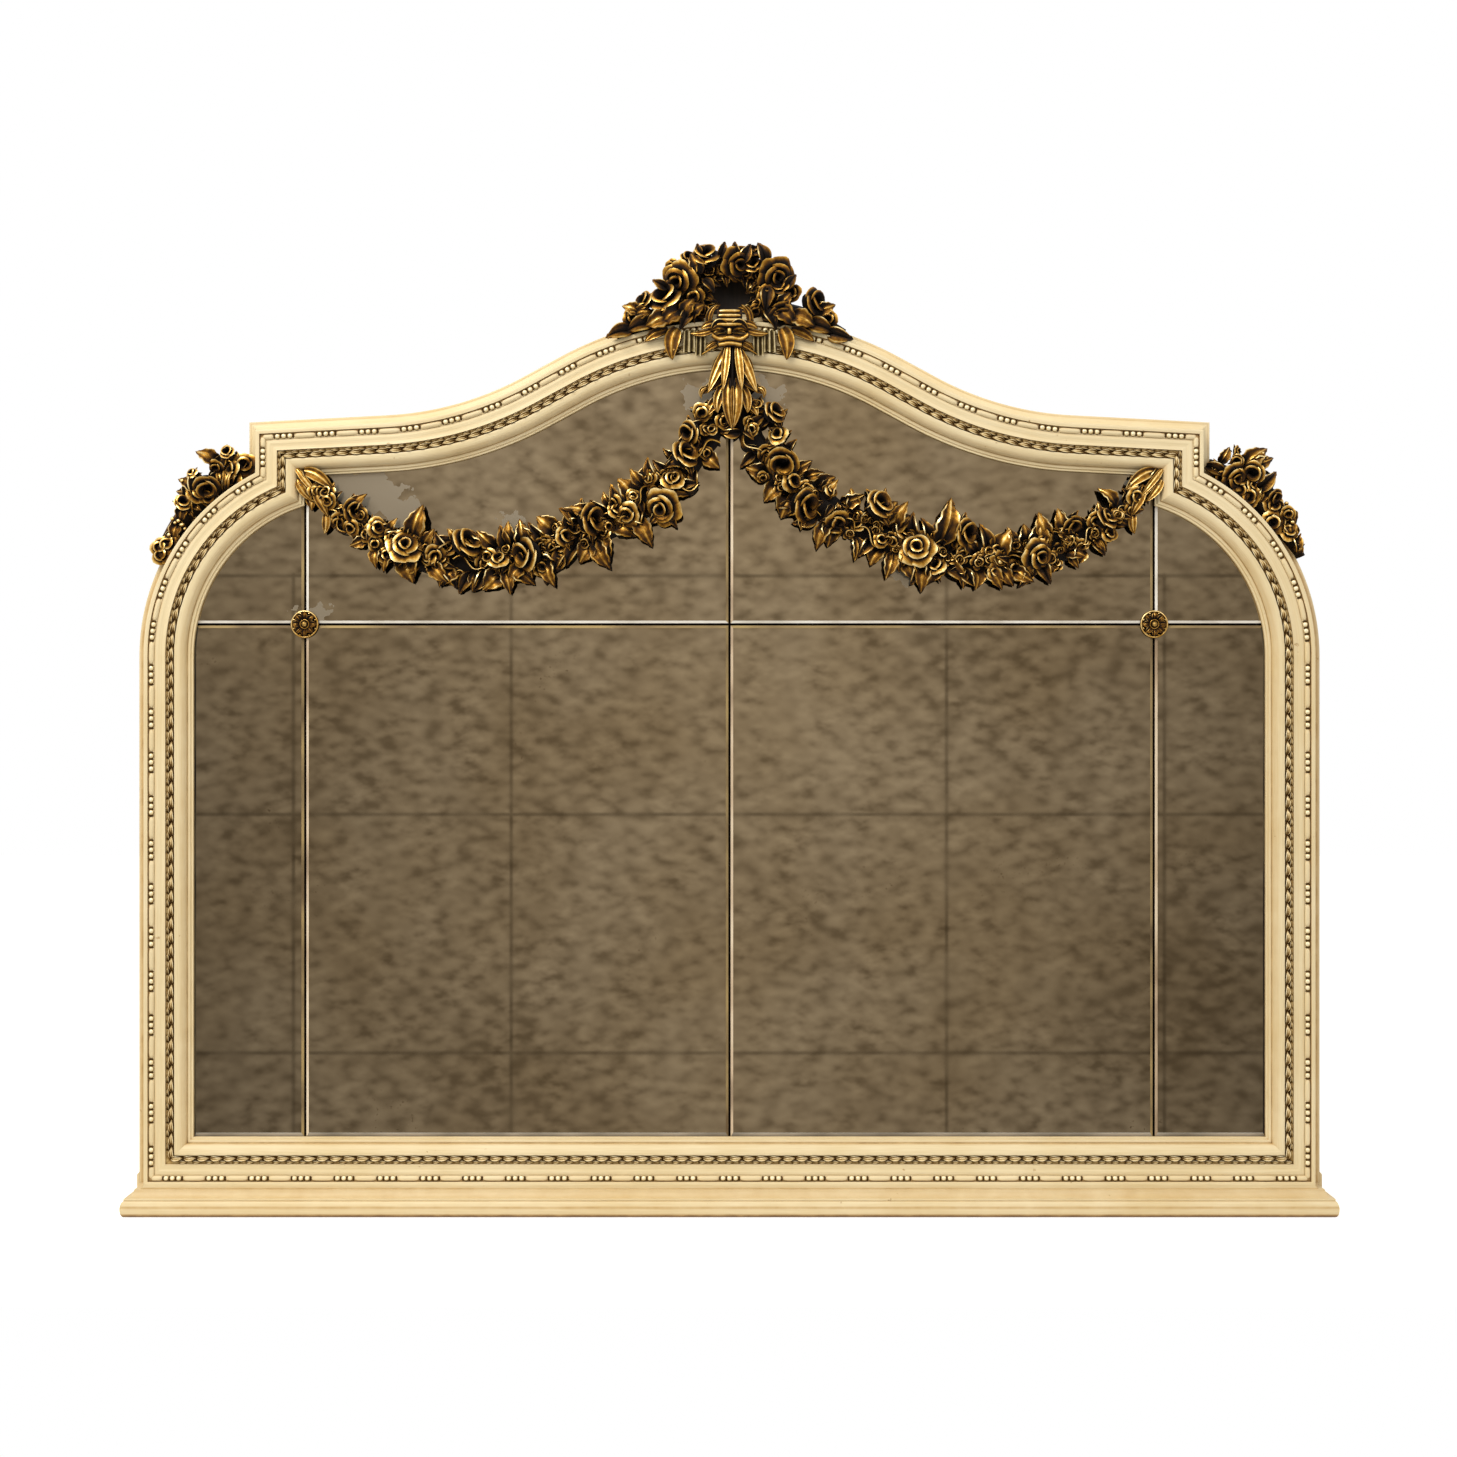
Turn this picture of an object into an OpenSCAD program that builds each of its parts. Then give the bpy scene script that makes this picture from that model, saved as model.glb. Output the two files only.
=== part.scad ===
// Overmantel mirror with a painted moulded frame, gilded carving and eight bevelled panes.
// Width runs along X, height along Z, and the front faces -Y. Lengths are in millimetres.
// The face is drawn flat as x and height, with depth counted forward from the frame's back.

/* [Sight opening] */
// Half the width of the glass that shows between the stiles
sight_half_w = 804.5; // [700:0.5:950]
// Height of the lower sight edge above the base
sill_z = 111.5; // [105:0.5:140]
// Straight height of the stiles' sight edge
stile_h = 722.5; // [600:0.5:850]
// Radius of the round shoulders at the sight edge
shoulder_r = 235.5; // [225:0.5:250]
// Distance from a stile's sight edge in to the ear's sight edge
ear_in = 166.5; // [150:0.5:180]
// Height of the ear's upright sight edge
ear_h = 44.6; // [30:0.2:60]
// Length of the almost level top beside each ear
flat_len = 126; // [60:1:130]
// Slope of that length
flat_angle = 3; // [1:0.5:5]
// Slope of the rise to the crown
rise_angle = 28.5; // [26:0.5:30]
// Length of the straight rise between the hollow sweep and the crown
rise_len = 62.9; // [40:0.1:80]
// Radius of the crown arch
crown_r = 450; // [400:5:455]

/* [Moulding] */
// Width of the moulding from the sight edge to its outer edge
frame_w = 88; // [84:1:100]
// Height of the outer fillet above the back
frame_d = 54; // [50:0.5:70]
// Width of the rabbet that holds the glass
rabbet_w = 12; // [8:0.5:14]
// Thickness of the lip in front of the glass
lip_t = 6; // [4:0.5:8]
// Width of the carved leaf channel
leaf_w = 13; // [10:0.5:15]
// Distance from the sight edge to the leaf channel
leaf_at = 24.5; // [22:0.5:26]
// Width of the bead channel
bead_w = 9; // [7:0.5:10]
// Distance from the sight edge to the bead channel
bead_at = 54; // [52:0.5:56]
// Thickness of the frame's thin outer edge
edge_t = 14; // [8:0.5:20]
// Length of one long bead
barrel_len = 33; // [24:1:40]
// Distance from one small bead to the next
bead_pitch = 11.3; // [10:0.1:14]
// Distance from one carved leaf to the next
leaf_pitch = 20; // [16:0.5:30]

/* [Plinth] */
// Height of the plinth
plinth_h = 38; // [30:0.5:42]
// Depth of the plinth's core
plinth_d = 55; // [52:0.5:75]
// Projection of the plinth moulding
plinth_p = 17.5; // [15:0.5:28]
// Inset of the core's ends from the frame's outer edge
plinth_in = 7; // [2:0.5:12]
// Height of the small strip at each stile's foot
foot_h = 16; // [8:1:24]
// Thickness of that strip
foot_t = 3.5; // [2:0.5:6]

/* [Glass and back] */
// Glass thickness
glass_t = 4; // [3:0.5:6]
// Width of the open joint between two panes
pane_gap = 2; // [0.5:0.25:3]
// Width of the panes' bevel at a joint
bevel_w = 4.5; // [2:0.5:8]
// Depth of that bevel at the pane's edge
bevel_t = 1.2; // [0.5:0.1:2]
// Rise of the level joint above the top of the stiles
joint_rise = 47; // [20:1:60]
// Play between the glass and the rabbet's wall
glass_play = 2; // [1:0.5:4]
// Backboard thickness
board_t = 8; // [6:0.5:10]
// Gap between two backboards
board_gap = 1; // [0.5:0.5:3]
// Batten thickness
batten_t = 14; // [10:0.5:16]
// Batten width
batten_w = 60; // [40:1:80]
// Height of the lower batten above the sight edge
batten_low = 188.5; // [150:0.5:230]
// Drop of the upper batten below the top of the stiles
batten_high = 214; // [150:1:250]
// Length of a batten's end that lies in the stile
batten_lap = 50; // [40:1:60]
// Play of a batten in its housing
batten_play = 0.3; // [0.1:0.1:0.5]

/* [Joints in the frame] */
// Dowel radius
dowel_r = 5; // [3:0.5:6]
// Dowel length
dowel_len = 50; // [30:1:60]
// Thickness of a mitre spline
spline_t = 4; // [3:0.5:6]
// Length of a mitre spline across its joint
spline_len = 34; // [24:1:38]

/* [Hangers] */
// Distance of a hanger in from the frame's outer edge
hanger_in = 42; // [36:1:50]
// Drop of the rings' axis below the top of the stiles
hanger_drop = 34; // [24:1:74]
// Width of a hanger's strap
strap_w = 20; // [14:1:26]
// Length of a strap below the axis
strap_len = 80; // [74:1:100]
// Thickness of a strap
strap_t = 2; // [1.5:0.5:3]
// Radius of the ring's wire
ring_r = 2; // [1.5:0.25:2.5]
// Running clearance of the ring in its eye
ring_play = 0.05; // [0.03:0.01:0.1]
// Wall of the eye
eye_wall = 2.1; // [1.5:0.1:3]
// Length of a ring's straight legs
ring_leg = 20; // [16:1:30]

/* [Carving] */
// Radius of a rosette on the glass
rosette_r = 21; // [16:0.5:26]
// Drop of a garland below the line between its ends
garland_sag = 168; // [140:1:172]
// Radius of a garland's largest rose
rose_r = 27; // [22:1:30]
// Thickness of the carving
carving_d = 26; // [20:1:32]
// Radius of the wreath's ring of flowers
wreath_r = 53; // [48:1:60]
// Height of the wreath's centre above the crown's sight edge
wreath_z = 109; // [105:1:118]
// Length of the acanthus pendant
pendant_len = 131; // [100:1:140]
// Clearance between a carving and what it lies on
carving_gap = 0.3; // [0.1:0.1:0.5]

/* [Hidden] */
$fn = 96;

paint = "#e6d6ab";
gilt = "#a8803a";
bare_wood = "#8a6a45";
silvered = "#8b8071";
iron = "#4c4a48";

// Levels above the frame's back
lip_z = frame_d - 18;
rabbet_d = lip_z - lip_t;
step_z = lip_z + 2.5;
ovolo_z = frame_d - 4;
leaf_bed = frame_d - 10;
bead_bed = frame_d - 8;
glass_back = rabbet_d - glass_t;
board_back = glass_back - board_t;

// Widths across the moulding
fillet_w = 8;
ovolo_end = leaf_at - 0.5;
band_end = bead_at - 4;
cap_at = bead_at + bead_w;
cap_w = 6;
cap_end = cap_at + cap_w;
edge_w = 4;

// Points of the sight edge on the right half, from the sill up to the crown. The hollow sweep
// takes up what the flats, the rises and the crown leave of the width.
ear_x = sight_half_w - ear_in;
crown_x = crown_r * sin(rise_angle);
cove_r = (ear_x - flat_len * cos(flat_angle) - rise_len * cos(rise_angle) - crown_x)
    / (sin(rise_angle) - sin(flat_angle));
shoulder_c = [sight_half_w - shoulder_r, sill_z + stile_h];
ear_foot = [ear_x, shoulder_c[1] + sqrt(pow(shoulder_r, 2) - pow(ear_x - shoulder_c[0], 2))];
ear_top = [ear_x, ear_foot[1] + ear_h];
flat_end = ear_top + flat_len * [-cos(flat_angle), sin(flat_angle)];
cove_c = flat_end + cove_r * [sin(flat_angle), cos(flat_angle)];
cove_end = cove_c - cove_r * [sin(rise_angle), cos(rise_angle)];
crown_foot = [crown_x, cove_end[1] + (cove_end[0] - crown_x) * tan(rise_angle)];
crown_c = [0, crown_foot[1] - crown_r * cos(rise_angle)];
crown_top = crown_c[1] + crown_r;
outer_half_w = sight_half_w + frame_w;
core_half_w = outer_half_w - plinth_in;
ear_slope = (1 - sin(flat_angle)) / cos(flat_angle);
joint_x = ear_x;
joint_z = shoulder_c[1] + joint_rise;
batten_z = [sill_z + batten_low, shoulder_c[1] - batten_high];
far = 3000;
weld = 0.02;

function away(p, heading, t) = p + t * [sin(heading), -cos(heading)];

// Lays the flat drawing upright, with the origin at the middle of the plinth core's underside
module upright() {
    translate([0, plinth_d / 2, 0]) rotate([90, 0, 0]) children();
}

module slab(low, high) {
    translate([0, 0, low]) linear_extrude(high - low) children();
}

// The two halves of the mirror are alike
module on_side(side) {
    if (side < 0) mirror([1, 0, 0]) children();
    else children();
}

// Sweeps a section along a straight run, with its outer side to the right of the way it runs
module run_line(from, to, before = 0, after = 0) {
    step = to - from;
    translate([from[0], from[1], 0])
        rotate(atan2(step[1], step[0]))
            translate([norm(step) + after, 0, 0])
                rotate([90, 0, -90])
                    linear_extrude(norm(step) + before + after) children();
}

// Sweeps a section round a bend whose centre is inside the frame
module run_arc(centre, radius, start, end) {
    translate([centre[0], centre[1], 0])
        rotate(start) rotate_extrude(angle = end - start) translate([radius, 0]) children();
}

// Sweeps a section round the hollow bend, whose centre is outside the frame
module run_cove() {
    translate([cove_c[0], cove_c[1], 0])
        rotate(-90 - rise_angle) rotate_extrude(angle = rise_angle - flat_angle)
            translate([cove_r, 0]) mirror([1, 0]) children();
}

// Section of the moulding: across it from the sight edge, and up from the back
module moulding_section() {
    hollow_x = frame_w - edge_w;
    polygon(concat(
        [[0, rabbet_d], [rabbet_w, rabbet_d], [rabbet_w, 0], [frame_w, 0], [frame_w, edge_t]],
        [for (a = [90 : -10 : 0])
            [hollow_x - (hollow_x - cap_end) * cos(a), frame_d - 1 - (frame_d - 1 - edge_t) * sin(a)]],
        [[cap_end - 1, frame_d], [cap_at, frame_d - 0.5], [cap_at, bead_bed], [bead_at, bead_bed]],
        [[bead_at - 0.5, bead_bed + 1], [band_end, ovolo_z]],
        [[(leaf_at + leaf_w + band_end) / 2, ovolo_z - 1.2]],
        [[leaf_at + leaf_w, ovolo_z], [leaf_at + leaf_w, leaf_bed], [leaf_at, leaf_bed], [leaf_at, ovolo_z]],
        [for (a = [90 : -10 : 0])
            [ovolo_end - (ovolo_end - fillet_w) * cos(a), step_z + (ovolo_z - step_z) * sin(a)]],
        [[3.5, step_z], [3, lip_z], [0, lip_z]]
    ));
}

// Section of the space that the moulding fills, for fitting the carving round it
module cover_section() {
    g = carving_gap;
    polygon([[-g, 0], [frame_w + g, 0], [frame_w + g, edge_t + 2], [frame_w - 12, edge_t + 16],
        [cap_end + g, frame_d + g], [leaf_at, frame_d + g], [fillet_w - g, ovolo_z - 3],
        [fillet_w - g, step_z + g], [-g, step_z + g]]);
}

// Areas that a mitred member keeps
module below_sill_mitre() {
    drop = sill_z - plinth_h;
    polygon([[-sight_half_w, sill_z], [sight_half_w, sill_z],
        [sight_half_w + drop, plinth_h], [-sight_half_w - drop, plinth_h]]);
}

module inside_ear_foot() {
    reach = frame_w + 4;
    polygon(concat(
        [for (i = [0 : 8]) let (t = i * reach / 8) [ear_x + t,
            shoulder_c[1] + sqrt(pow(shoulder_r + t, 2) - pow(ear_x + t - shoulder_c[0], 2))]],
        [[ear_x + reach, far], [ear_x - reach, far], [ear_x - reach, ear_foot[1]]]
    ));
}

module under_ear_mitre() {
    reach = frame_w + 20;
    polygon([ear_top, ear_top + reach * [1, ear_slope], [ear_x + reach, 0], [ear_x - reach, 0],
        [ear_x - reach, ear_top[1]]]);
}

// The members of the frame, each swept with the section that is handed in
module sill_run() {
    intersection() {
        run_line([-outer_half_w, sill_z], [outer_half_w, sill_z]) children();
        slab(-1, far) below_sill_mitre();
    }
}

module stile_run() {
    difference() {
        run_line([sight_half_w, plinth_h], shoulder_c + [shoulder_r, 0]) children();
        slab(-1, far) below_sill_mitre();
    }
}

module shoulder_run() {
    difference() {
        run_arc(shoulder_c, shoulder_r, 0, 88) children();
        slab(-1, far) inside_ear_foot();
    }
}

module ear_run() {
    intersection() {
        run_line(ear_foot, ear_top, frame_w / 2, frame_w + 4) children();
        slab(-1, far) inside_ear_foot();
        slab(-1, far) under_ear_mitre();
    }
}

module ogee_run() {
    difference() {
        run_line(ear_top, flat_end, frame_w + 4, weld) children();
        slab(-1, far) under_ear_mitre();
    }
    run_cove() children();
    run_line(cove_end, crown_foot, weld) children();
}

module crown_run(lap = 0) {
    run_arc(crown_c, crown_r, 90 - rise_angle - lap, 90 + rise_angle + lap) children();
}

module side_run() {
    stile_run() children();
    shoulder_run() children();
    ear_run() children();
}

module top_run() {
    crown_run(weld / 4) children();
    on_side(1) ogee_run() children();
    on_side(-1) ogee_run() children();
}

// Housings, sockets and holes that are cut into the members
module batten_cuts() {
    for (z = batten_z)
        slab(-1, board_back + batten_play) batten_area(z, batten_play);
}

module batten_area(z, play) {
    half = sight_half_w + batten_lap + play;
    translate([-half, z - batten_w / 2 - play]) square([2 * half, batten_w + 2 * play]);
}

batten_screw_r = 2.2;
batten_screw_len = 30;
module at_batten_screws() {
    out = sight_half_w + batten_lap / 2 + rabbet_w / 2;
    for (side = [-1, 1], z = batten_z, lift = [-1, 1])
        translate([side * out, z + lift * batten_w / 4, board_back - batten_t]) children();
}

module batten_screw_shanks() {
    at_batten_screws() cylinder(r = batten_screw_r, h = batten_screw_len);
}

dowel_d = 20;
dowel_span = [28, 58];
module dowel_at(p, heading, t) {
    q = away(p, heading, t);
    translate([q[0], q[1], dowel_d]) rotate(heading) rotate([0, 90, 0])
        cylinder(r = dowel_r, h = dowel_len, center = true);
}

module frame_dowels() {
    for (side = [-1, 1])
        on_side(side)
            for (t = dowel_span) {
                dowel_at(shoulder_c + [shoulder_r, 0], 90, t);
                dowel_at(crown_foot, 180 - rise_angle, t);
            }
    for (x = [-1, 1]) crest_dowel(x * crest_dowel_x);
}

spline_back = 22;
spline_run = 58;
module spline(p, angle, start) {
    slab(spline_back, spline_back + spline_t)
        translate(p) rotate(angle) translate([start, -spline_len / 2]) square([spline_run, spline_len]);
}

module side_splines() {
    outside_start = 1.5 * rabbet_w;
    inside_start = 2.4 * rabbet_w;
    foot_turn = 34;
    spline([sight_half_w, sill_z], -45, outside_start);
    spline(ear_foot, foot_turn, inside_start);
    spline(ear_top, atan(ear_slope), outside_start);
}

module all_splines() {
    for (side = [-1, 1]) on_side(side) side_splines();
}

hanger_x = outer_half_w - hanger_in;
hanger_z = shoulder_c[1] - hanger_drop;
hanger_screw_r = 1.8;
hanger_screw_len = 24;
hanger_screw_z = [-68, -48];
module hanger_screw_shanks() {
    for (side = [-1, 1], z = hanger_screw_z)
        translate([side * hanger_x, hanger_z + z, -strap_t])
            cylinder(r = hanger_screw_r, h = hanger_screw_len);
}

// Frame members
module bottom_rail() {
    color(paint) upright() difference() {
        sill_run() moulding_section();
        all_splines();
    }
}

module stile(side) {
    color(paint) upright() difference() {
        on_side(side) stile_run() moulding_section();
        frame_dowels();
        all_splines();
        batten_cuts();
        batten_screw_shanks();
        hanger_screw_shanks();
    }
}

module shoulder(side) {
    color(paint) upright() difference() {
        on_side(side) shoulder_run() moulding_section();
        frame_dowels();
        all_splines();
    }
}

module ear(side) {
    color(paint) upright() difference() {
        on_side(side) ear_run() moulding_section();
        all_splines();
        garland_pin_shanks();
    }
}

module ogee_rail(side) {
    color(paint) upright() difference() {
        on_side(side) ogee_run() moulding_section();
        frame_dowels();
        all_splines();
    }
}

module crown_rail() {
    color(paint) upright() difference() {
        crown_run() moulding_section();
        frame_dowels();
        garland_pin_shanks();
    }
}

module joint_dowels() {
    color(bare_wood) upright() frame_dowels();
}

module mitre_splines() {
    color(bare_wood) upright() all_splines();
}

// Plinth: a core board, with one moulding mitred round its front and ends
module plinth_section() {
    torus_z = 12;
    torus_r = 12;
    fillet_z = 27;
    p = plinth_p;
    polygon(concat(
        [[0, 0], [p - 5, 0]],
        [for (a = [-75 : 15 : 75]) [p - 5 + 5 * cos(a), torus_z + torus_r * sin(a)]],
        [[p - 5, 2 * torus_z], [p - 4.5, fillet_z]],
        [for (a = [15 : 15 : 90]) [1 + (p - 6) * (1 - sin(a)), plinth_h - (plinth_h - fillet_z) * cos(a)]],
        [[0, plinth_h]]
    ));
}

module plinth_core() {
    color(bare_wood) translate([-core_half_w, -plinth_d / 2, 0]) cube([2 * core_half_w, plinth_d, plinth_h]);
}

module plinth_corner_area() {
    corner = [core_half_w, -plinth_d / 2];
    outside = corner[0] + 2 * plinth_p;
    polygon([corner, corner + plinth_p * [1.2, -1.2], [outside, 0], [outside, far], [corner[0], far]]);
}

module plinth_front() {
    color(paint) difference() {
        translate([core_half_w + plinth_p, -plinth_d / 2, 0]) rotate([90, 0, -90])
            linear_extrude(2 * (core_half_w + plinth_p)) plinth_section();
        for (side = [-1, 1]) on_side(side) slab(-1, far) plinth_corner_area();
    }
}

module plinth_end(side) {
    color(paint) on_side(side) intersection() {
        translate([core_half_w, plinth_d / 2, 0]) rotate([90, 0, 0])
            linear_extrude(plinth_d + plinth_p) plinth_section();
        slab(-1, far) plinth_corner_area();
    }
}

module foot_strip(side) {
    color(paint) upright() on_side(side) slab(0, edge_t)
        polygon([[outer_half_w, plinth_h], [outer_half_w + foot_t, plinth_h + 2],
            [outer_half_w + foot_t, plinth_h + foot_h - 4], [outer_half_w, plinth_h + foot_h]]);
}

// Bead course: three small beads and one long one, over and over, on a thin base
bead_r = bead_w / 2 - 0.3;
bead_base = 1.2;
carved_in = 0.2;
bead_repeat = 3 * bead_pitch + barrel_len + 1.5;

module bead_base_section() {
    translate([bead_at, bead_bed]) square([bead_w, bead_base]);
}

// One raised round, lying along X, with its back sunk a little into the bead base
module bead_round(length) {
    translate([0, 0, bead_bed + bead_base - carved_in]) rotate([90, 0, 90])
        linear_extrude(length, center = true)
            polygon([for (a = [0 : 45 : 180]) bead_r * [cos(a), sin(a)]]);
}

function bead_kind(i) = i % 4 == 3 ? barrel_len - 1.5 : bead_pitch - 2;
function bead_place(i) = floor(i / 4) * bead_repeat + (i % 4) * bead_pitch
    + (i % 4 == 3 ? barrel_len / 2 - bead_r : 0);

module beads_on_line(from, to, start, end) {
    step = to - from;
    translate([from[0], from[1], 0]) rotate(atan2(step[1], step[0]))
        for (i = [0 : floor(4 * (norm(step) + 20) / bead_repeat)])
            if (bead_place(i) + bead_kind(i) / 2 < norm(step) - start - end)
                translate([start + bead_place(i), -bead_at - bead_w / 2, 0]) bead_round(bead_kind(i));
}

module beads_on_arc(centre, radius, first, last) {
    r = radius + bead_at + bead_w / 2;
    turn = 180 / (PI * r);
    translate([centre[0], centre[1], 0])
        for (i = [0 : floor(4 * (last - first) / turn / bead_repeat)])
            if ((bead_place(i) + bead_kind(i) / 2) * turn < last - first)
                rotate(first + bead_place(i) * turn) translate([r, 0, 0]) rotate(90)
                    bead_round(bead_kind(i));
}

module bead_strip_bottom() {
    color(gilt) upright() {
        sill_run() bead_base_section();
        beads_on_line([-sight_half_w, sill_z], [sight_half_w, sill_z], -44, -44);
    }
}

module bead_strip_side(side) {
    color(gilt) upright() on_side(side) {
        side_run() bead_base_section();
        beads_on_line([sight_half_w, sill_z], shoulder_c + [shoulder_r, 0], -44, 4);
        beads_on_arc(shoulder_c, shoulder_r, 1.5, 60);
    }
}

module bead_strip_top() {
    color(gilt) upright() {
        top_run() bead_base_section();
        beads_on_arc(crown_c, crown_r, 90 - rise_angle + 1, 90 + rise_angle);
        for (side = [-1, 1]) on_side(side) beads_on_line(ear_top, flat_end, -44, 6);
    }
}

// Leaf course: a thin base with one raised pointed leaf after another
module leaf_base_section() {
    translate([leaf_at, leaf_bed]) square([leaf_w, 2]);
}

module leaf_raised() {
    half = leaf_w / 2 - 1;
    translate([0, 0, leaf_bed + 2 - carved_in]) rotate([90, 0, 0]) linear_extrude(leaf_w - 4, center = true)
        polygon([[-half, 0], [-half / 2, 2.4], [half / 2, 3], [half + 1, 0]]);
}

module leaves_on_line(from, to, start, end) {
    step = to - from;
    count = floor((norm(step) - start - end) / leaf_pitch);
    translate([from[0], from[1], 0]) rotate(atan2(step[1], step[0]))
        for (i = [0 : count - 1])
            translate([start + (i + 0.5) * leaf_pitch, -leaf_at - leaf_w / 2, 0]) leaf_raised();
}

module leaves_on_arc(centre, radius, first, last) {
    r = radius + leaf_at + leaf_w / 2;
    turn = leaf_pitch * 180 / (PI * r);
    translate([centre[0], centre[1], 0])
        for (i = [0 : floor((last - first) / turn) - 1])
            rotate(first + (i + 0.5) * turn) translate([r, 0, 0]) rotate(90) leaf_raised();
}

module leaf_strip_bottom() {
    color(gilt) upright() {
        sill_run() leaf_base_section();
        leaves_on_line([-sight_half_w, sill_z], [sight_half_w, sill_z], 0, 0);
    }
}

module leaf_strip_side(side) {
    color(gilt) upright() on_side(side) {
        side_run() leaf_base_section();
        leaves_on_line([sight_half_w, sill_z], shoulder_c + [shoulder_r, 0], 0, 0);
        leaves_on_arc(shoulder_c, shoulder_r, 0, 62);
    }
}

module leaf_strip_top() {
    color(gilt) upright() {
        top_run() leaf_base_section();
        leaves_on_arc(crown_c, crown_r, 90 - rise_angle, 90 + rise_angle);
        for (side = [-1, 1]) on_side(side) leaves_on_line(ear_top, flat_end, 0, 4);
    }
}

// Area inside the sight edge, grown outwards by g
module sight_area(g) {
    foot = sill_z - g;
    corner = ear_top + g * [1, ear_slope];
    a = away(flat_end, 180 - flat_angle, g);
    b = away(cove_end, 180 - rise_angle, g);
    c = away(crown_foot, 180 - rise_angle, g);
    for (side = [-1, 1]) on_side(side) {
        translate([0, foot]) square([sight_half_w + g, shoulder_c[1] - foot]);
        translate([0, foot]) square([ear_x + g, ear_top[1] - foot]);
        intersection() {
            translate(shoulder_c) circle(shoulder_r + g, $fn = 180);
            translate(shoulder_c) square(shoulder_r + g);
        }
        translate([0, foot]) square([shoulder_c[0], ear_foot[1] - foot - 20]);
        difference() {
            polygon([[0, ear_foot[1]], [ear_x + g, ear_foot[1]], corner, a, b, c, [0, c[1]]]);
            translate(cove_c) circle(cove_r - g, $fn = 360);
        }
    }
    intersection() {
        translate(crown_c) circle(crown_r + g, $fn = 360);
        translate([-c[0], c[1] - 1]) square(2 * c[0]);
    }
}

// Panes, numbered from the left, in two rows that meet at the level joint
pane_x = [-far, -joint_x, 0, joint_x, far];
pane_z = [-far, joint_z, far];
corner_nip = 6;

module bevel_cut(length) {
    translate([0, 0, rabbet_d - bevel_t]) rotate([90, 0, 0]) linear_extrude(length, center = true)
        polygon([[-pane_gap / 2, 0], [0, -1], [pane_gap / 2, 0], [pane_gap / 2 + bevel_w, bevel_t],
            [pane_gap / 2 + bevel_w, bevel_t + 1], [-pane_gap / 2 - bevel_w, bevel_t + 1],
            [-pane_gap / 2 - bevel_w, bevel_t]]);
}

module pane(column, row) {
    width = pane_x[column + 1] - pane_x[column];
    height = pane_z[row + 1] - pane_z[row];
    color(silvered) upright() difference() {
        slab(glass_back, rabbet_d) intersection() {
            sight_area(rabbet_w - glass_play);
            translate([pane_x[column] + pane_gap / 2, pane_z[row] + pane_gap / 2])
                square([width - pane_gap, height - pane_gap]);
        }
        for (x = [-joint_x, 0, joint_x]) translate([x, 0, 0]) bevel_cut(2 * far);
        translate([0, joint_z, 0]) rotate(90) bevel_cut(2 * far);
        for (side = [-1, 1]) translate([side * joint_x, joint_z, 0])
            cylinder(d = corner_nip, h = far, center = true);
    }
}

// Rosettes: a round of petals over each crossing, held by a screw between the panes
rosette_screw_r = 1.6;
rosette_d = 8;
module rosette(side) {
    petals = 8;
    color(gilt) upright() translate([side * joint_x, joint_z, rabbet_d]) difference() {
        union() {
            cylinder(r = rosette_r, h = 2.5);
            for (i = [0 : petals - 1]) rotate(i * 360 / petals) translate([rosette_r * 0.66, 0, 2])
                cylinder(r = rosette_r * 0.26, h = rosette_d - 4);
            cylinder(r = rosette_r * 0.3, h = rosette_d - 2);
        }
        cylinder(r = rosette_screw_r, h = far, center = true);
    }
}

module rosette_screw_shanks() {
    for (side = [-1, 1]) translate([side * joint_x, joint_z, board_back + 1])
        cylinder(r = rosette_screw_r, h = rabbet_d + rosette_d - 2 - board_back - 1);
}

module rosette_screws() {
    color(gilt) upright() {
        rosette_screw_shanks();
        for (side = [-1, 1]) translate([side * joint_x, joint_z, rabbet_d + rosette_d - 2])
            cylinder(r = rosette_r * 0.2, h = 3);
    }
}

// Carved forms, each with a flat back at zero height
module carved_leaf(length, width, rise) {
    hull() {
        linear_extrude(1.5) polygon([[0, -width / 6], [length * 0.4, -width / 2], [length, 0],
            [length * 0.4, width / 2], [0, width / 6]]);
        translate([length * 0.12, 0, 0]) cylinder(r = width / 10, h = rise * 0.8, $fn = 5);
        translate([length * 0.5, 0, 0]) cylinder(r = width / 12, h = rise, $fn = 5);
    }
}

module carved_rose(radius, rise) {
    for (i = [0 : 4]) rotate(i * 72) hull() {
        translate([radius * 0.62, 0, 0]) cylinder(r = radius * 0.38, h = rise * 0.55, $fn = 6);
        translate([radius * 0.36, 0, 0]) cylinder(r = radius * 0.3, h = rise * 0.75, $fn = 6);
    }
    hull() {
        cylinder(r = radius * 0.4, h = rise * 0.8, $fn = 7);
        cylinder(r = radius * 0.2, h = rise, $fn = 7);
    }
}

// Garland: a stem that hangs from the ear to the crown, with roses and leaves along it
garland_from = [ear_x - 26, ear_top[1] - 24];
garland_to = [16, crown_top - 50];
function garland_at(f) = garland_from + f * (garland_to - garland_from)
    - [0, garland_sag * pow(max(0, 4 * f * (1 - f)), 0.95 - 0.42 * f)];
function garland_swell(f) = 13 + 21 * pow(max(0, sin(180 * f)), 0.7);
function garland_step(f) = garland_at(min(1, f + 0.02)) - garland_at(max(0, f - 0.02));
function garland_turn(f) = atan2(garland_step(f)[1], garland_step(f)[0]);

garland_steps = 10;
// Each rose's place along the garland and its size
garland_roses = [
    [0.07, 0.75], [0.2, 0.85], [0.36, 0.95], [0.53, 1],
    [0.67, 0.95], [0.8, 0.85], [0.88, 0.85], [0.95, 0.7]
];

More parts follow.
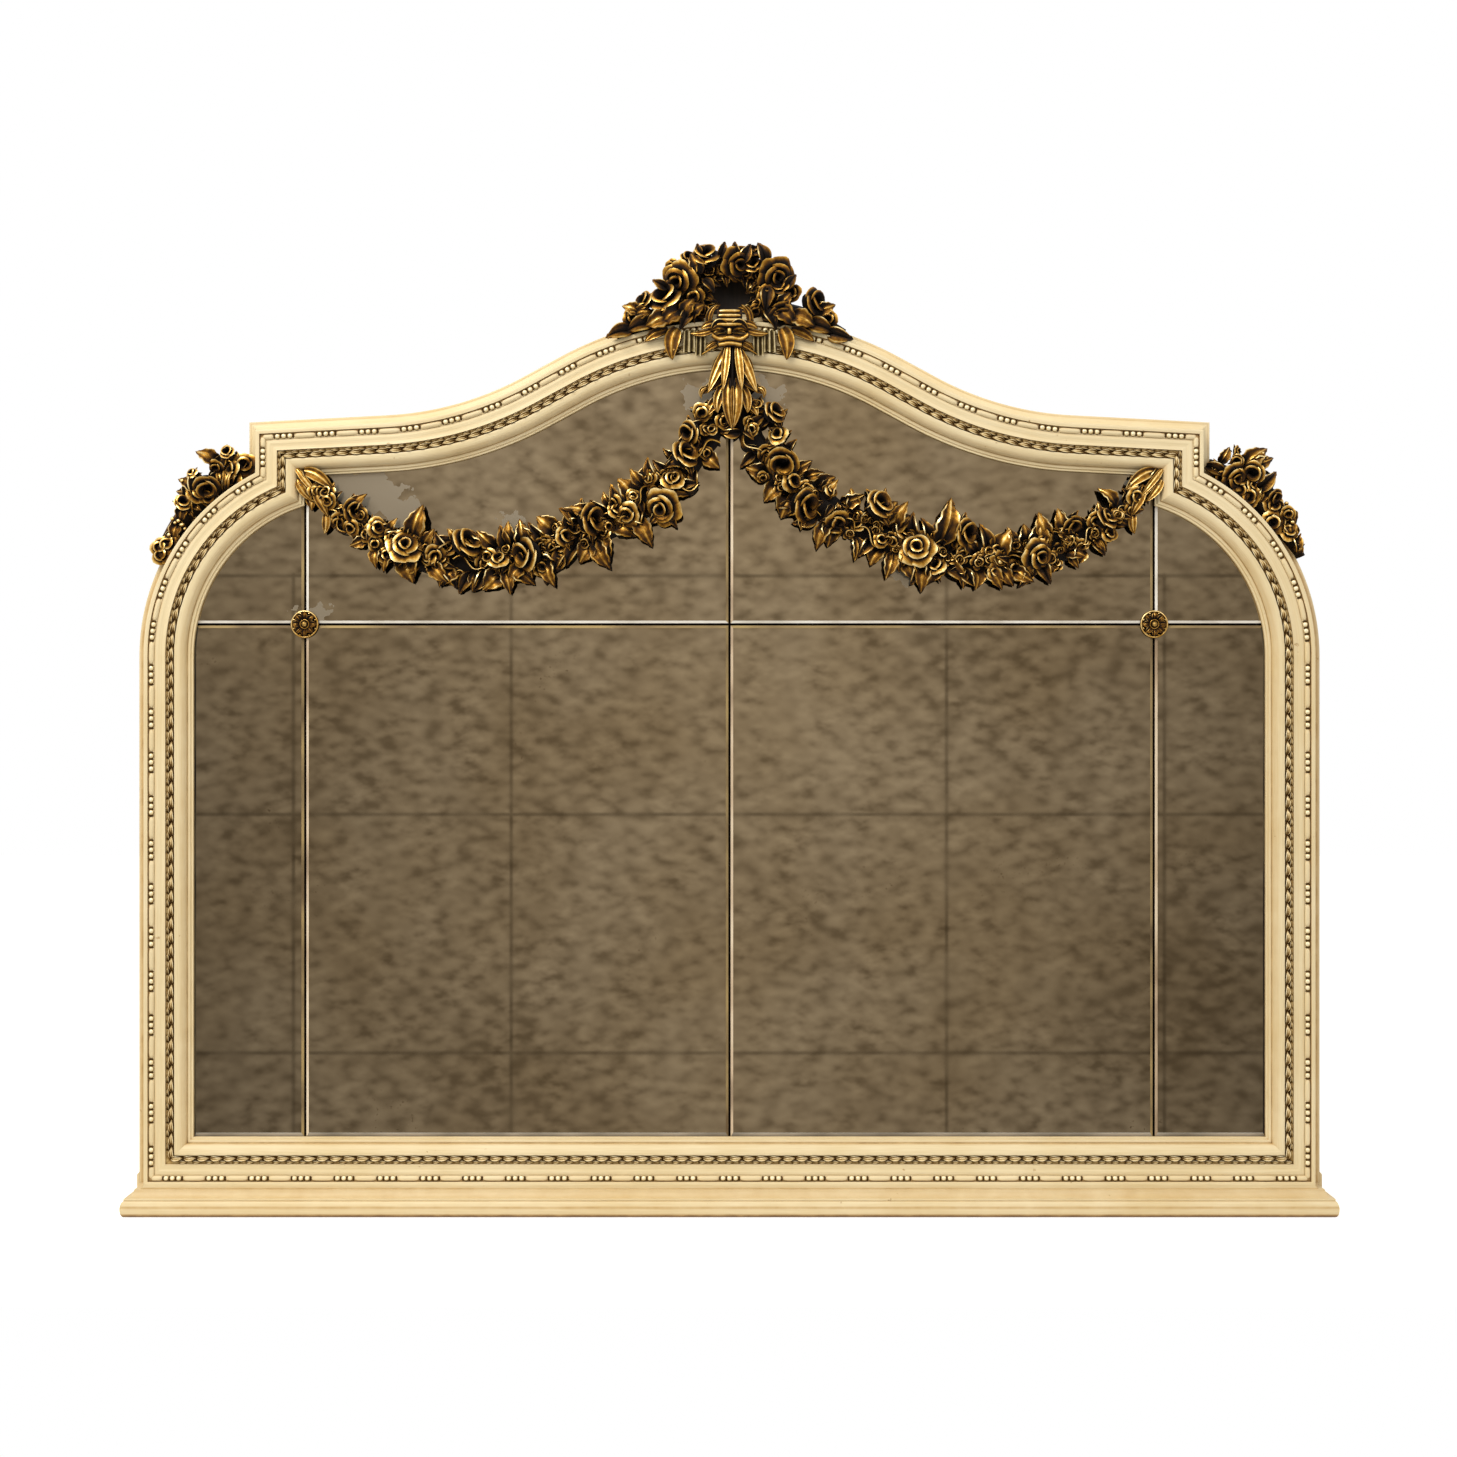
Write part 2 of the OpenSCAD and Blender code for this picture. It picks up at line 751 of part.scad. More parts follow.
module garland(side) {
    back = rabbet_d + carving_gap;
    color(gilt) upright() on_side(side) difference() {
        translate([0, 0, back]) {
            for (i = [0 : garland_steps - 1]) hull()
                for (f = [i, i + 1] / garland_steps)
                    translate(garland_at(f)) cylinder(r = garland_swell(f), h = carving_d * 0.45, $fn = 6);
            for (rose = garland_roses)
                translate(garland_at(rose[0])) rotate(rose[0] * 500)
                    carved_rose(rose_r * rose[1], carving_d * (0.55 + 0.45 * rose[1]));
            for (i = [1 : garland_steps - 1], lean = [-1, 1]) let (f = (i + 0.1) / garland_steps)
                translate(garland_at(f)) rotate(garland_turn(f) + 180 + lean * (52 + 14 * sin(i * 97)))
                    carved_leaf(garland_swell(f) + 24 + 6 * sin(i * 53), 26, carving_d * 0.6);
            translate(garland_from) rotate(50) carved_leaf(52, 18, carving_d * 0.5);
            translate(garland_from) rotate(85) carved_leaf(38, 16, carving_d * 0.5);
            translate(garland_from) rotate(15) carved_leaf(38, 16, carving_d * 0.5);
        }
        garland_clearance();
    }
}

// What a garland keeps clear of: the moulding, the other garland and the pendant in front
module garland_clearance() {
    ear_run() cover_section();
    ogee_run() cover_section();
    crown_run() cover_section();
    slab(0, far) translate([-far, 0]) square([far + 1, far]);
    slab(pendant_back - carving_gap, far) translate([0, crown_top - pendant_low - 12]) square([56, far]);
}

garland_pin_r = 1.5;
garland_pin_len = 16;
module garland_pin_shanks() {
    for (side = [-1, 1]) on_side(side)
        translate([ear_x + fillet_w / 2, ear_top[1] - 16, rabbet_d + 1])
            cylinder(r = garland_pin_r, h = garland_pin_len);
    for (side = [-1, 1]) translate([side * 10, crown_top + 18, frame_d - 20])
        cylinder(r = garland_pin_r, h = 1.5 * garland_pin_len);
}

module garland_pins() {
    color(iron) upright() garland_pin_shanks();
}

// Pendant of acanthus leaves over the middle of the crown
pendant_top = crown_top + 38;
pendant_low = pendant_len - 38;
pendant_back = rabbet_d + 18;

module acanthus_pendant() {
    color(gilt) upright() difference() {
        translate([0, pendant_top, pendant_back]) {
            rotate(-90) carved_leaf(pendant_len, 40, 26);
            for (lean = [-1, 1]) {
                rotate(-90 + lean * 9) carved_leaf(pendant_len * 0.82, 30, 28);
                rotate(-90 + lean * 19) carved_leaf(pendant_len * 0.74, 28, 25);
                rotate(-90 + lean * 30) carved_leaf(pendant_len * 0.62, 24, 22);
                translate([0, -pendant_len * 0.45]) rotate(-90 + lean * 52) carved_leaf(46, 22, 18);
                translate([0, -pendant_len * 0.55]) rotate(-90 + lean * 26) carved_leaf(52, 24, 20);
            }
        }
        crown_run() cover_section();
    }
}

// Wreath of roses above the crown, on a backing board that stands on the crown rail
wreath_c = [0, crown_top + wreath_z];
backing_d = 12;
crest_dowel_x = 30;
wreath_wide = 1.3;
// Each rose's angle round the wreath and its size
wreath_roses = [
    [-28, 0.78], [28, 0.92], [62, 0.84], [90, 0.92],
    [118, 0.84], [150, 0.96], [182, 0.84], [208, 0.92]
];

module crest_dowel(x) {
    foot = crown_c[1] + sqrt(pow(crown_r + frame_w, 2) - pow(x, 2));
    translate([x, foot, edge_t / 2 + 1]) rotate([90, 0, 0])
        cylinder(r = dowel_r - 1, h = dowel_len * 0.6, center = true);
}

module crest_backing() {
    color(bare_wood) upright() difference() {
        slab(1, backing_d + 1) intersection() {
            translate([wreath_c[0], wreath_c[1] - 4]) circle(wreath_r + 10);
            translate([-far, crown_c[1]]) square(2 * far);
        }
        translate([crown_c[0], crown_c[1], -1]) cylinder(r = crown_r + frame_w, h = far, $fn = 360);
        for (x = [-1, 1]) crest_dowel(x * crest_dowel_x);
    }
}

module on_wreath(a, r, back) {
    translate([wreath_c[0] + r * wreath_wide * cos(a), wreath_c[1] + r * sin(a), back]) children();
}

// A place beside the wreath, in shares of its radius, measured from the top of the crown
module beside_wreath(x, rise, back) {
    translate([x * wreath_r, crown_top + rise * wreath_r, back]) children();
}

module crest_wreath() {
    ground_t = 14;
    back = backing_d + 1 + carving_gap;
    color(gilt) upright() difference() {
        union() {
            translate([wreath_c[0], wreath_c[1], back]) scale([wreath_wide, 1, 1]) difference() {
                cylinder(r = 1.28 * wreath_r, h = ground_t, $fn = 24);
                translate([0, 0, -1]) cylinder(r = 0.55 * wreath_r, h = ground_t + 2, $fn = 24);
            }
            for (rose = wreath_roses)
                on_wreath(rose[0], wreath_r, back)
                    rotate(rose[0] * 3) carved_rose(rose_r * rose[1], frame_d + 16 - back);
            for (a = [-30 : 30 : 210])
                on_wreath(a, 0.74 * wreath_r, back)
                    rotate(a + 25) carved_leaf(0.87 * wreath_r, 0.45 * wreath_r, frame_d + 4 - back);
            for (side = [-1, 1]) on_side(side) {
                beside_wreath(1.74, 1.36, back)
                    rotate(-13) carved_leaf(1.81 * wreath_r, 0.64 * wreath_r, frame_d + 10 - back);
                beside_wreath(1.13, 1.25, back)
                    rotate(-4) carved_leaf(1.7 * wreath_r, 0.64 * wreath_r, frame_d + 14 - back);
                beside_wreath(1.17, 1.4, back) carved_rose(rose_r * 0.85, frame_d + 14 - back);
                beside_wreath(2.15, 1.62, back) carved_rose(rose_r * 0.72, frame_d + 12 - back);
            }
        }
        crown_run() cover_section();
        for (side = [-1, 1]) on_side(side) ogee_run() cover_section();
        slab(frame_d - 1, far) console_area(carving_gap);
        slab(ovolo_z, far) translate([-fold_out - 1, crown_top]) square([2 * (fold_out + 1), bow_z + 7]);
        slab(-1, far) translate(wreath_c) scale([1.24, 1]) circle(0.45 * wreath_r, $fn = 20);
    }
}

console_w = 50;
console_h = 30;
console_z = crown_top + 60;
module console_area(g) {
    translate([-console_w / 2 - g, console_z - g]) square([console_w + 2 * g, console_h + 2 * g]);
}

// Scrolled block under the wreath, with a bow below it and a fold of drapery to each side
bow_z = 50;
fold_out = 70;
module crest_console() {
    folds = 4;
    fold_w = 10;
    fold_h = 34;
    color(gilt) upright() {
        slab(frame_d + carving_gap, frame_d + 12) {
            console_area(0);
            translate([-console_w / 2, crown_top + bow_z - 6])
                square([console_w, console_z - crown_top - bow_z + 8]);
        }
        for (side = [-1, 1]) on_side(side) {
            translate([console_w / 2 - 8, console_z + 9, frame_d + carving_gap]) cylinder(r = 7.5, h = 16);
            for (i = [0 : folds - 1])
                slab(ovolo_z + carving_gap, frame_d + 5 + 2 * (i % 2))
                    translate([fold_out - (folds - i) * (fold_w + 1) - 2, crown_top + 18 - 1.5 * i])
                        square([fold_w + 1.5, fold_h]);
        }
    }
}

// Sprays of flowers on the outside of the shoulders
spray_turn = 47;
module spray(side) {
    mid = shoulder_r + frame_w;
    color(gilt) upright() on_side(side) difference() {
        union() {
            run_arc(shoulder_c, mid, spray_turn - 19, spray_turn + 13) translate([0, 2]) square([9, 22]);
            translate([shoulder_c[0], shoulder_c[1], edge_t - 6]) spray_flowers(mid);
        }
        run_arc(shoulder_c, shoulder_r, -20, 100) cover_section();
        run_line(ear_foot, ear_top, frame_w / 2, frame_w + 4) cover_section();
    }
}

module spray_flowers(mid) {
    rotate(spray_turn + 2) translate([mid + 8, 0, 0]) carved_rose(rose_r * 0.95, frame_d);
    rotate(spray_turn + 10) translate([mid + 12, 0, 0]) rotate(40) carved_rose(rose_r * 0.9, frame_d);
    rotate(spray_turn - 5) translate([mid + 16, 0, 0]) carved_rose(rose_r * 0.6, frame_d - 4);
    rotate(spray_turn - 10) translate([mid + 8, 0, 0]) carved_rose(rose_r * 0.6, frame_d - 6);
    rotate(spray_turn - 10) translate([mid, 0, 0]) rotate(-88) carved_leaf(66, 20, frame_d - 8);
    rotate(spray_turn - 2) translate([mid + 4, 0, 0]) rotate(-24) carved_leaf(48, 24, frame_d - 12);
    rotate(spray_turn + 6) translate([mid + 4, 0, 0]) rotate(20) carved_leaf(56, 26, frame_d - 10);
    rotate(spray_turn + 12) translate([mid, 0, 0]) rotate(46) carved_leaf(44, 22, frame_d - 8);
}

// Backboards behind the glass, battens across them and blocks in the rabbet
board_split = sight_half_w / 2;
board_x = [-far, -board_split, 0, board_split, far];
module backboard(i) {
    color(bare_wood) upright() difference() {
        slab(board_back, glass_back) intersection() {
            sight_area(rabbet_w - glass_play);
            translate([board_x[i] + board_gap / 2, -far])
                square([board_x[i + 1] - board_x[i] - board_gap, 3 * far]);
        }
        rosette_screw_shanks();
    }
}

module batten(z) {
    color(bare_wood) upright() difference() {
        slab(board_back - batten_t, board_back) batten_area(z, 0);
        batten_screw_shanks();
    }
}

module batten_screws() {
    color(iron) upright() {
        batten_screw_shanks();
        at_batten_screws() mirror([0, 0, 1]) cylinder(r = 2 * batten_screw_r, h = 2);
    }
}

block_len = 50;
block_w = 26;
block_t = 10;
module block_at(p, heading) {
    translate(away(p, heading, rabbet_w)) rotate(heading)
        translate([-block_len / 2, 0]) square([block_len, block_w]);
}

module retaining_blocks() {
    color(bare_wood) upright() slab(board_back - block_t, board_back) intersection() {
        union() {
            for (x = [-1, 0, 1]) block_at([x * board_split, sill_z], 0);
            block_at([0, crown_top], 180);
            for (side = [-1, 1]) on_side(side) block_at((ear_top + flat_end) / 2, 180 - flat_angle);
        }
        sight_area(rabbet_w);
    }
}

// Hangers: a strap whose rolled eye holds the ring's straight bar, so the ring swings freely
eye_r = ring_r + ring_play + eye_wall;
eye_d = eye_r + carving_gap;
ring_half_w = strap_w / 2 + ring_r + 2;

module hanger_strap(side) {
    color(iron) upright() translate([side * hanger_x, hanger_z, 0]) difference() {
        union() {
            translate([-strap_w / 2, -strap_len, -strap_t]) cube([strap_w, strap_len - eye_r, strap_t]);
            translate([-strap_w / 2, -2 * eye_r, -eye_d]) cube([strap_w, 2 * eye_r, eye_d - carving_gap]);
            translate([0, 0, -eye_d]) rotate([0, 90, 0]) cylinder(r = eye_r, h = strap_w, center = true);
        }
        translate([0, 0, -eye_d]) rotate([0, 90, 0])
            cylinder(r = ring_r + ring_play, h = strap_w + 2, center = true);
        translate([-strap_w, -2 * eye_r - 1, -eye_d - far]) cube([2 * strap_w, 2 * eye_r + 1, far - ring_r]);
        for (z = hanger_screw_z) translate([0, z, 0]) cylinder(r = hanger_screw_r, h = far, center = true);
    }
}

module hanger_ring(side) {
    color(iron) upright() translate([side * hanger_x, hanger_z, -eye_d]) {
        rotate([0, 90, 0]) cylinder(r = ring_r, h = 2 * ring_half_w, center = true);
        for (s = [-1, 1]) {
            translate([s * ring_half_w, 0, 0]) sphere(ring_r);
            translate([s * ring_half_w, 0, 0]) rotate([90, 0, 0]) cylinder(r = ring_r, h = ring_leg);
        }
        translate([0, -ring_leg, 0]) rotate(180) rotate_extrude(angle = 180)
            translate([ring_half_w, 0]) circle(ring_r, $fn = 48);
    }
}

module hanger_screws() {
    color(iron) upright() {
        hanger_screw_shanks();
        for (side = [-1, 1], z = hanger_screw_z) translate([side * hanger_x, hanger_z + z, -strap_t - 1.6])
            cylinder(r = 2 * hanger_screw_r, h = 1.6);
    }
}

bottom_rail();
stile(-1);  // stile_left
stile(1);  // stile_right
shoulder(-1);  // shoulder_left
shoulder(1);  // shoulder_right
ear(-1);  // ear_left
ear(1);  // ear_right
ogee_rail(-1);  // ogee_rail_left
ogee_rail(1);  // ogee_rail_right
crown_rail();
joint_dowels();
mitre_splines();
plinth_core();
plinth_front();
plinth_end(-1);  // plinth_end_left
plinth_end(1);  // plinth_end_right
foot_strip(-1);  // foot_strip_left
foot_strip(1);  // foot_strip_right
bead_strip_bottom();
bead_strip_side(-1);  // bead_strip_left
bead_strip_side(1);  // bead_strip_right
bead_strip_top();
leaf_strip_bottom();
leaf_strip_side(-1);  // leaf_strip_left
leaf_strip_side(1);  // leaf_strip_right
leaf_strip_top();
pane(0, 0);  // pane_lower_left
pane(1, 0);  // pane_lower_mid_left
pane(2, 0);  // pane_lower_mid_right
pane(3, 0);  // pane_lower_right
pane(0, 1);  // pane_upper_left
pane(1, 1);  // pane_upper_mid_left
pane(2, 1);  // pane_upper_mid_right
pane(3, 1);  // pane_upper_right
rosette(-1);  // rosette_left
rosette(1);  // rosette_right
rosette_screws();
garland(-1);  // garland_left
garland(1);  // garland_right
garland_pins();
acanthus_pendant();
crest_wreath();
crest_console();
crest_backing();
spray(-1);  // spray_left
spray(1);  // spray_right
backboard(0);  // backboard_left
backboard(1);  // backboard_mid_left
backboard(2);  // backboard_mid_right
backboard(3);  // backboard_right
batten(batten_z[0]);  // batten_lower
batten(batten_z[1]);  // batten_upper
batten_screws();
retaining_blocks();
hanger_strap(-1);  // hanger_strap_left
hanger_strap(1);  // hanger_strap_right
hanger_ring(-1);  // hanger_ring_left
hanger_ring(1);  // hanger_ring_right
hanger_screws();
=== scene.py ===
"""Overmantel mirror with a painted moulded frame, gilded carving and eight bevelled panes.

Shapes are drawn on the mirror's face in millimetres: x to the right, height above the base, and
depth counted forward from the frame's back. One matrix lays that drawing upright in metres.
"""
import logging
from dataclasses import dataclass, field
from enum import Enum
from functools import cache, partial
from math import acos, asin, atan2, cos, degrees, exp, hypot, pi, radians, sin, sqrt, tan
from random import Random
from typing import Callable, Iterable, Sequence

import bmesh
import bpy
from bmesh.types import BMEdge, BMesh, BMFace, BMVert
from bpy.types import NodeSocket, NodeTree
from mathutils import Matrix, Vector


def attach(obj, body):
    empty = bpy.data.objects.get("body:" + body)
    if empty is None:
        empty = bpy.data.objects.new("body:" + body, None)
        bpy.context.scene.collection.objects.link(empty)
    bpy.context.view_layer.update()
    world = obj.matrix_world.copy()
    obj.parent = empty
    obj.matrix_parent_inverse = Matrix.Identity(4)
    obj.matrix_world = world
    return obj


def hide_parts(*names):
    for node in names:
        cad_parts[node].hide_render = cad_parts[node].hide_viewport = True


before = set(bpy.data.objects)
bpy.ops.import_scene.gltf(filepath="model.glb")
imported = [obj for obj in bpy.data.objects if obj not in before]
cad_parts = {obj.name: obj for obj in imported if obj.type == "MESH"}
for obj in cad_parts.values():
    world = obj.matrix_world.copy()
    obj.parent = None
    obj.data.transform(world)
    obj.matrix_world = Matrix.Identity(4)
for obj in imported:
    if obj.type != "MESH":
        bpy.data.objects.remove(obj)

LOG = logging.getLogger("mirror")
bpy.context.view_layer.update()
UPRIGHT = Matrix(((0.001, 0, 0, 0), (0, 0, -0.001, 0.0275), (0, 0.001, 0, 0), (0, 0, 0, 1)))
MIRROR_TOP = 1453.0
# The first float marks painted shade and soiling on the paint; rim marks painted highlights and painted shade
# on the carving.
FLOATS = ("grime", "along", "across", "rim")
Adder = Callable[..., NodeSocket]
Place = tuple[float, float]
Shaped = tuple[Sequence[float], float]


class Side(Enum):
    """The two halves of the mirror, and the sign of x on each."""

    LEFT = -1
    RIGHT = 1

    @property
    def word(self) -> str:
        """Name of the side as the pieces use it."""
        return self.name.lower()


class Form(Enum):
    """Carved forms that the garlands, the crest and the sprays are made of."""

    ROSE = "rose"
    CUP_ROSE = "cup_rose"
    SMALL_ROSE = "small_rose"
    BUD = "bud"
    DAISY = "daisy"
    LEAF = "leaf"
    TOOTHED_LEAF = "toothed_leaf"
    SHELL_LEAF = "shell_leaf"
    FLUTED_LEAF = "fluted_leaf"
    CURLED_RIBBON = "curled_ribbon"
    BERRY = "berry"
    BARREL = "barrel"
    BEAD = "bead"
    SHADE = "shade"
    COURSE_LEAF = "course_leaf"


# ---------------------------------------------------------------- finishes

def linear(colour: str) -> tuple[float, float, float, float]:
    """Turns an sRGB hex colour to linear.

    Args:
        colour: Six hex digits after a hash.

    Returns:
        Red, green, blue and alpha in linear light.
    """
    parts = [int(colour[i:i + 2], 16) / 255 for i in (1, 3, 5)]
    r, g, b = (c / 12.92 if c <= 0.04045 else ((c + 0.055) / 1.055) ** 2.4 for c in parts)
    return (r, g, b, 1.0)


def mm(size: float) -> float:
    """Texture scale at which one feature is that many millimetres."""
    return 1000.0 / size


def add(tree: NodeTree, kind: str, *values: object, stops: Sequence = (), out: str = "",
        **settings: object) -> NodeSocket | None:
    """Adds one node with its settings and links.

    Args:
        tree: Node tree that gets the node.
        kind: Node type without its ShaderNode prefix.
        *values: Values or sockets for the inputs that the node shows, in their order.
        stops: Positions and colours of a colour ramp.
        out: Name of the output that is wanted, where that isn't the first one shown.
        **settings: The node's attributes, and inputs by name with an underscore for a space.

    Returns:
        The wanted output.
    """
    made = tree.nodes.new("ShaderNode" + kind)
    named = {key.replace("_", " "): value for key, value in settings.items() if key[0].isupper()}
    for key, value in settings.items():
        if key[0].islower():
            setattr(made, key, value)
    shown = [socket for socket in made.inputs if socket.enabled]
    for socket, value in [*zip(shown, values), *((made.inputs[key], value) for key, value in named.items())]:
        if isinstance(value, NodeSocket):
            tree.links.new(value, socket)
        else:
            socket.default_value = value
    if stops:
        ramp = made.color_ramp.elements
        while len(ramp) < len(stops):
            ramp.new(0.5)
        for element, (position, colour) in zip(ramp, stops):
            element.position = position
            element.color = linear(colour) if isinstance(colour, str) else (colour, colour, colour, 1)
    return made.outputs[out] if out else next((socket for socket in made.outputs if socket.enabled), None)


class Finish:
    """A real finish, which makes its material once."""

    name: str

    @cache
    def material(self) -> bpy.types.Material:
        """The finish's material, made on its first use."""
        made = bpy.data.materials.new(self.name)
        made.use_nodes = True
        made.node_tree.nodes.clear()
        node = partial(add, made.node_tree)
        node("OutputMaterial", node("BsdfPrincipled", **self.dress(node)))
        return made

    def dress(self, node: Adder) -> dict[str, object]:
        """Makes the finish's pattern.

        Args:
            node: Adds a node to the material.

        Returns:
            Values and sockets for the shader's inputs.
        """
        raise NotImplementedError


@dataclass(frozen=True)
class AgedCreamPaint(Finish):
    """Distemper over gesso, brushed along the moulding: dull and streaked, with yellowing, soiling and
    painted shade in its corners and hollows.
    """

    name: str = "aged_cream_paint"
    light: str = "#eddcb3"
    deep: str = "#e0ca99"
    yellowed: str = "#c39e62"
    dirt: str = "#6f4f26"
    gesso: str = "#b8935c"
    streak_long: float = 70.0
    streak_wide: float = 2.5

    def dress(self, node: Adder) -> dict[str, object]:
        """Streaks along the run, clouds, soiling and painted shade in the hollows and a few worn specks."""
        place = node("TexCoord", out="Object")
        run = [node("Math", node("Attribute", attribute_name=name, out="Fac"), 1 / size, operation="MULTIPLY")
               for name, size in (("along", self.streak_long), ("across", self.streak_wide))]
        streak = node("TexNoise", node("CombineXYZ", *run), 1.0, 4.0)
        cloud = node("Math", node("TexNoise", place, mm(130), 3.0), 0.55, operation="MULTIPLY")
        tone = node("Math", streak, 0.45, cloud, operation="MULTIPLY_ADD")
        paint = node("ValToRGB", tone, stops=((0.32, self.deep), (0.62, self.light)))
        # Painted shade: closed corners found by occlusion and the sections' marks darken the paint to a
        # yellow tan and then dark brown, partly as soiling and partly as shade.
        air = node("AmbientOcclusion", Distance=0.008, samples=8, out="AO")
        corner = node("Math", node("Math", 1.0, air, operation="SUBTRACT"), 1.5, operation="POWER")
        grime = node("Math", node("Attribute", attribute_name="grime", out="Fac"), 0.6, operation="MULTIPLY")
        soil_and_shade = node("Math", corner, 0.95, grime, operation="MULTIPLY_ADD")
        uneven = node("Math", node("TexNoise", place, mm(24), 3.0), 0.45, operation="ADD")
        soil_and_shade = node("Math", soil_and_shade, uneven, operation="MULTIPLY", use_clamp=True)
        for colour, low, high in ((self.yellowed, 0.04, 0.5), (self.dirt, 0.42, 0.95)):
            share = node("ValToRGB", soil_and_shade, stops=((low, 0.0), (high, 0.9)))
            paint = node("Mix", share, paint, linear(colour), data_type="RGBA")
        speck = node("ValToRGB", node("TexNoise", place, mm(9), 6.0), stops=((0.7, 0.0), (0.735, 1.0)))
        area = node("ValToRGB", node("TexNoise", place, mm(160), 3.0), stops=((0.5, 0.0), (0.62, 0.8)))
        worn = node("Math", speck, area, operation="MULTIPLY")
        height = node("Math", worn, -1.5, streak, operation="MULTIPLY_ADD")
        return {"Base_Color": node("Mix", worn, paint, linear(self.gesso), data_type="RGBA"),
                "Roughness": node("Math", streak, 0.22, 0.42, operation="MULTIPLY_ADD"),
                "Normal": node("Bump", Distance=0.00035, Height=height)}


@dataclass(frozen=True)
class Gilding(Finish):
    """Leaf over dark bole with painted light and shade: bright on ridges as wear and painted highlight, and
    on faces turned to the upper left, and brown and dull in closed places as soiling and painted shade.
    """

    name: str = "antique_gilding"
    tones: tuple[str, ...] = ("#120903", "#42280a", "#885b1a", "#c4953c", "#f6dea0")
    metal: float = 0.8
    reach: float = 0.016
    bias: float = 0.4

    def dress(self, node: Adder) -> dict[str, object]:
        """Colour, metal and gloss follow painted light and shade: how open a place is, how it faces the key
        lamp at the upper left, and where ridges run.
        """
        place = node("TexCoord", out="Object")
        air = node("AmbientOcclusion", Distance=self.reach, samples=8, out="AO")
        rim = node("Attribute", attribute_name="rim", out="Fac")
        patchy = node("TexNoise", place, mm(7), 4.0)
        # Painted light: faces turned towards the key lamp at the upper left are lighter and more golden, and
        # those turned away are darker.
        toward_the_key_lamp = (-0.35, -0.8, 0.48)
        facing_the_light = node("VectorMath", node("NewGeometry", out="Normal"), toward_the_key_lamp, operation="DOT_PRODUCT")
        # Takes off what an open, flat, evenly worn place reaches in the four terms: painted light by the way
        # a face turns, the noise, the painted highlight and shade of the rim mark, and painted shade in
        # closed places.
        value: object = self.bias - 1.61
        for term, share in ((facing_the_light, 0.5), (patchy, 0.6), (rim, 0.5), (air, 1.0)):
            value = node("Math", term, share, value, operation="MULTIPLY_ADD")
        stops = tuple(zip((0.0, 0.25, 0.5, 0.72, 1.0), self.tones))
        return {"Base_Color": node("ValToRGB", value, stops=stops),
                "Metallic": node("ValToRGB", value, stops=((0.1, 0.0), (0.5, self.metal))),
                "Roughness": node("ValToRGB", value, stops=((0.0, 0.7), (1.0, 0.3))),
                "Specular_IOR_Level": 0.2,
                "Normal": node("Bump", Distance=0.00012, Height=node("TexNoise", place, mm(1.6), 3.0))}


@dataclass(frozen=True)
class AgedSilvering(Finish):
    """Old silvered plate: a warm dim mirror with faint clouds and a few blooms in the silver."""

    name: str = "aged_silvering"
    clear: str = "#b4ab98"
    cloudy: str = "#a89d87"
    bloom: str = "#6a563c"
    lost: str = "#a39b8c"
    glass_y: float = -0.0025
    blooms: tuple[tuple[float, float, float], ...] = (
        (-0.572, 1.09, 0.028), (-0.54, 1.085, 0.034), (-0.512, 1.068, 0.03), (-0.49, 1.045, 0.022),
        (-0.616, 0.897, 0.013), (-0.608, 0.905, 0.01), (-0.656, 0.896, 0.009), (0.264, 0.959, 0.02),
        (0.6, 1.07, 0.018), (-0.045, 1.225, 0.022), (0.055, 1.225, 0.022), (-0.33, 1.03, 0.016))

    def dress(self, node: Adder) -> dict[str, object]:
        """Clouds in the silver, small dark specks in patches, and ragged places where it is lost."""
        place = node("TexCoord", out="Object")
        cloud = node("TexNoise", place, mm(260), 2.0)
        silver = node("ValToRGB", cloud, stops=((0.38, self.cloudy), (0.62, self.clear)))
        speck = node("ValToRGB", node("TexNoise", place, mm(5), 3.0), stops=((0.66, 0.0), (0.7, 1.0)))
        area = node("ValToRGB", node("TexNoise", place, mm(190), 4.0), stops=((0.6, 0.0), (0.7, 0.7)))
        worn = node("Math", speck, area, operation="MULTIPLY")
        silver = node("Mix", worn, silver, linear(self.bloom), data_type="RGBA")
        ragged = node("TexNoise", place, mm(24), 4.0, out="Color")
        shift = node("VectorMath", ragged, (0.08, 0.0, 0.08), (-0.04, 0.0, -0.04), operation="MULTIPLY_ADD")
        moved = node("VectorMath", place, shift, operation="ADD")
        lost: object = 0.0
        for x, z, r in self.blooms:
            away = node("VectorMath", moved, (x, self.glass_y, z), operation="DISTANCE")
            lost = node("Math", lost, node("Math", away, r, operation="LESS_THAN"), operation="MAXIMUM")
        lost = node("Math", lost, 0.45, operation="MULTIPLY")
        haze = node("Math", worn, node("TexNoise", place, mm(60), 2.0), operation="ADD")
        haze = node("Math", haze, 0.05, operation="MULTIPLY")
        return {"Base_Color": node("Mix", lost, silver, linear(self.lost), data_type="RGBA"),
                "Metallic": node("Math", lost, -0.9, 1.0, operation="MULTIPLY_ADD"),
                "Roughness": node("Math", lost, 0.3, haze, operation="MULTIPLY_ADD")}


@dataclass(frozen=True)
class PolishedBevel(Finish):
    """The panes' bevels, coloured as a painted reflection whose tones change along the bevel, so they gleam
    in one place and go dark in the next.
    """

    name: str
    tones: tuple[str, ...]
    length: float = 90.0
    metal: float = 1.0
    rough: float = 0.2

    def dress(self, node: Adder) -> dict[str, object]:
        """Painted reflection in tones that change along its length, with a slight haze."""
        stops = tuple(zip((0.36, 0.48, 0.62), self.tones))
        change = node("TexNoise", node("TexCoord", out="Object"), mm(self.length), 2.0)
        return {"Base_Color": node("ValToRGB", change, stops=stops), "Metallic": self.metal,
                "Roughness": self.rough, "Specular_IOR_Level": 0.5 * (1 - self.rough)}


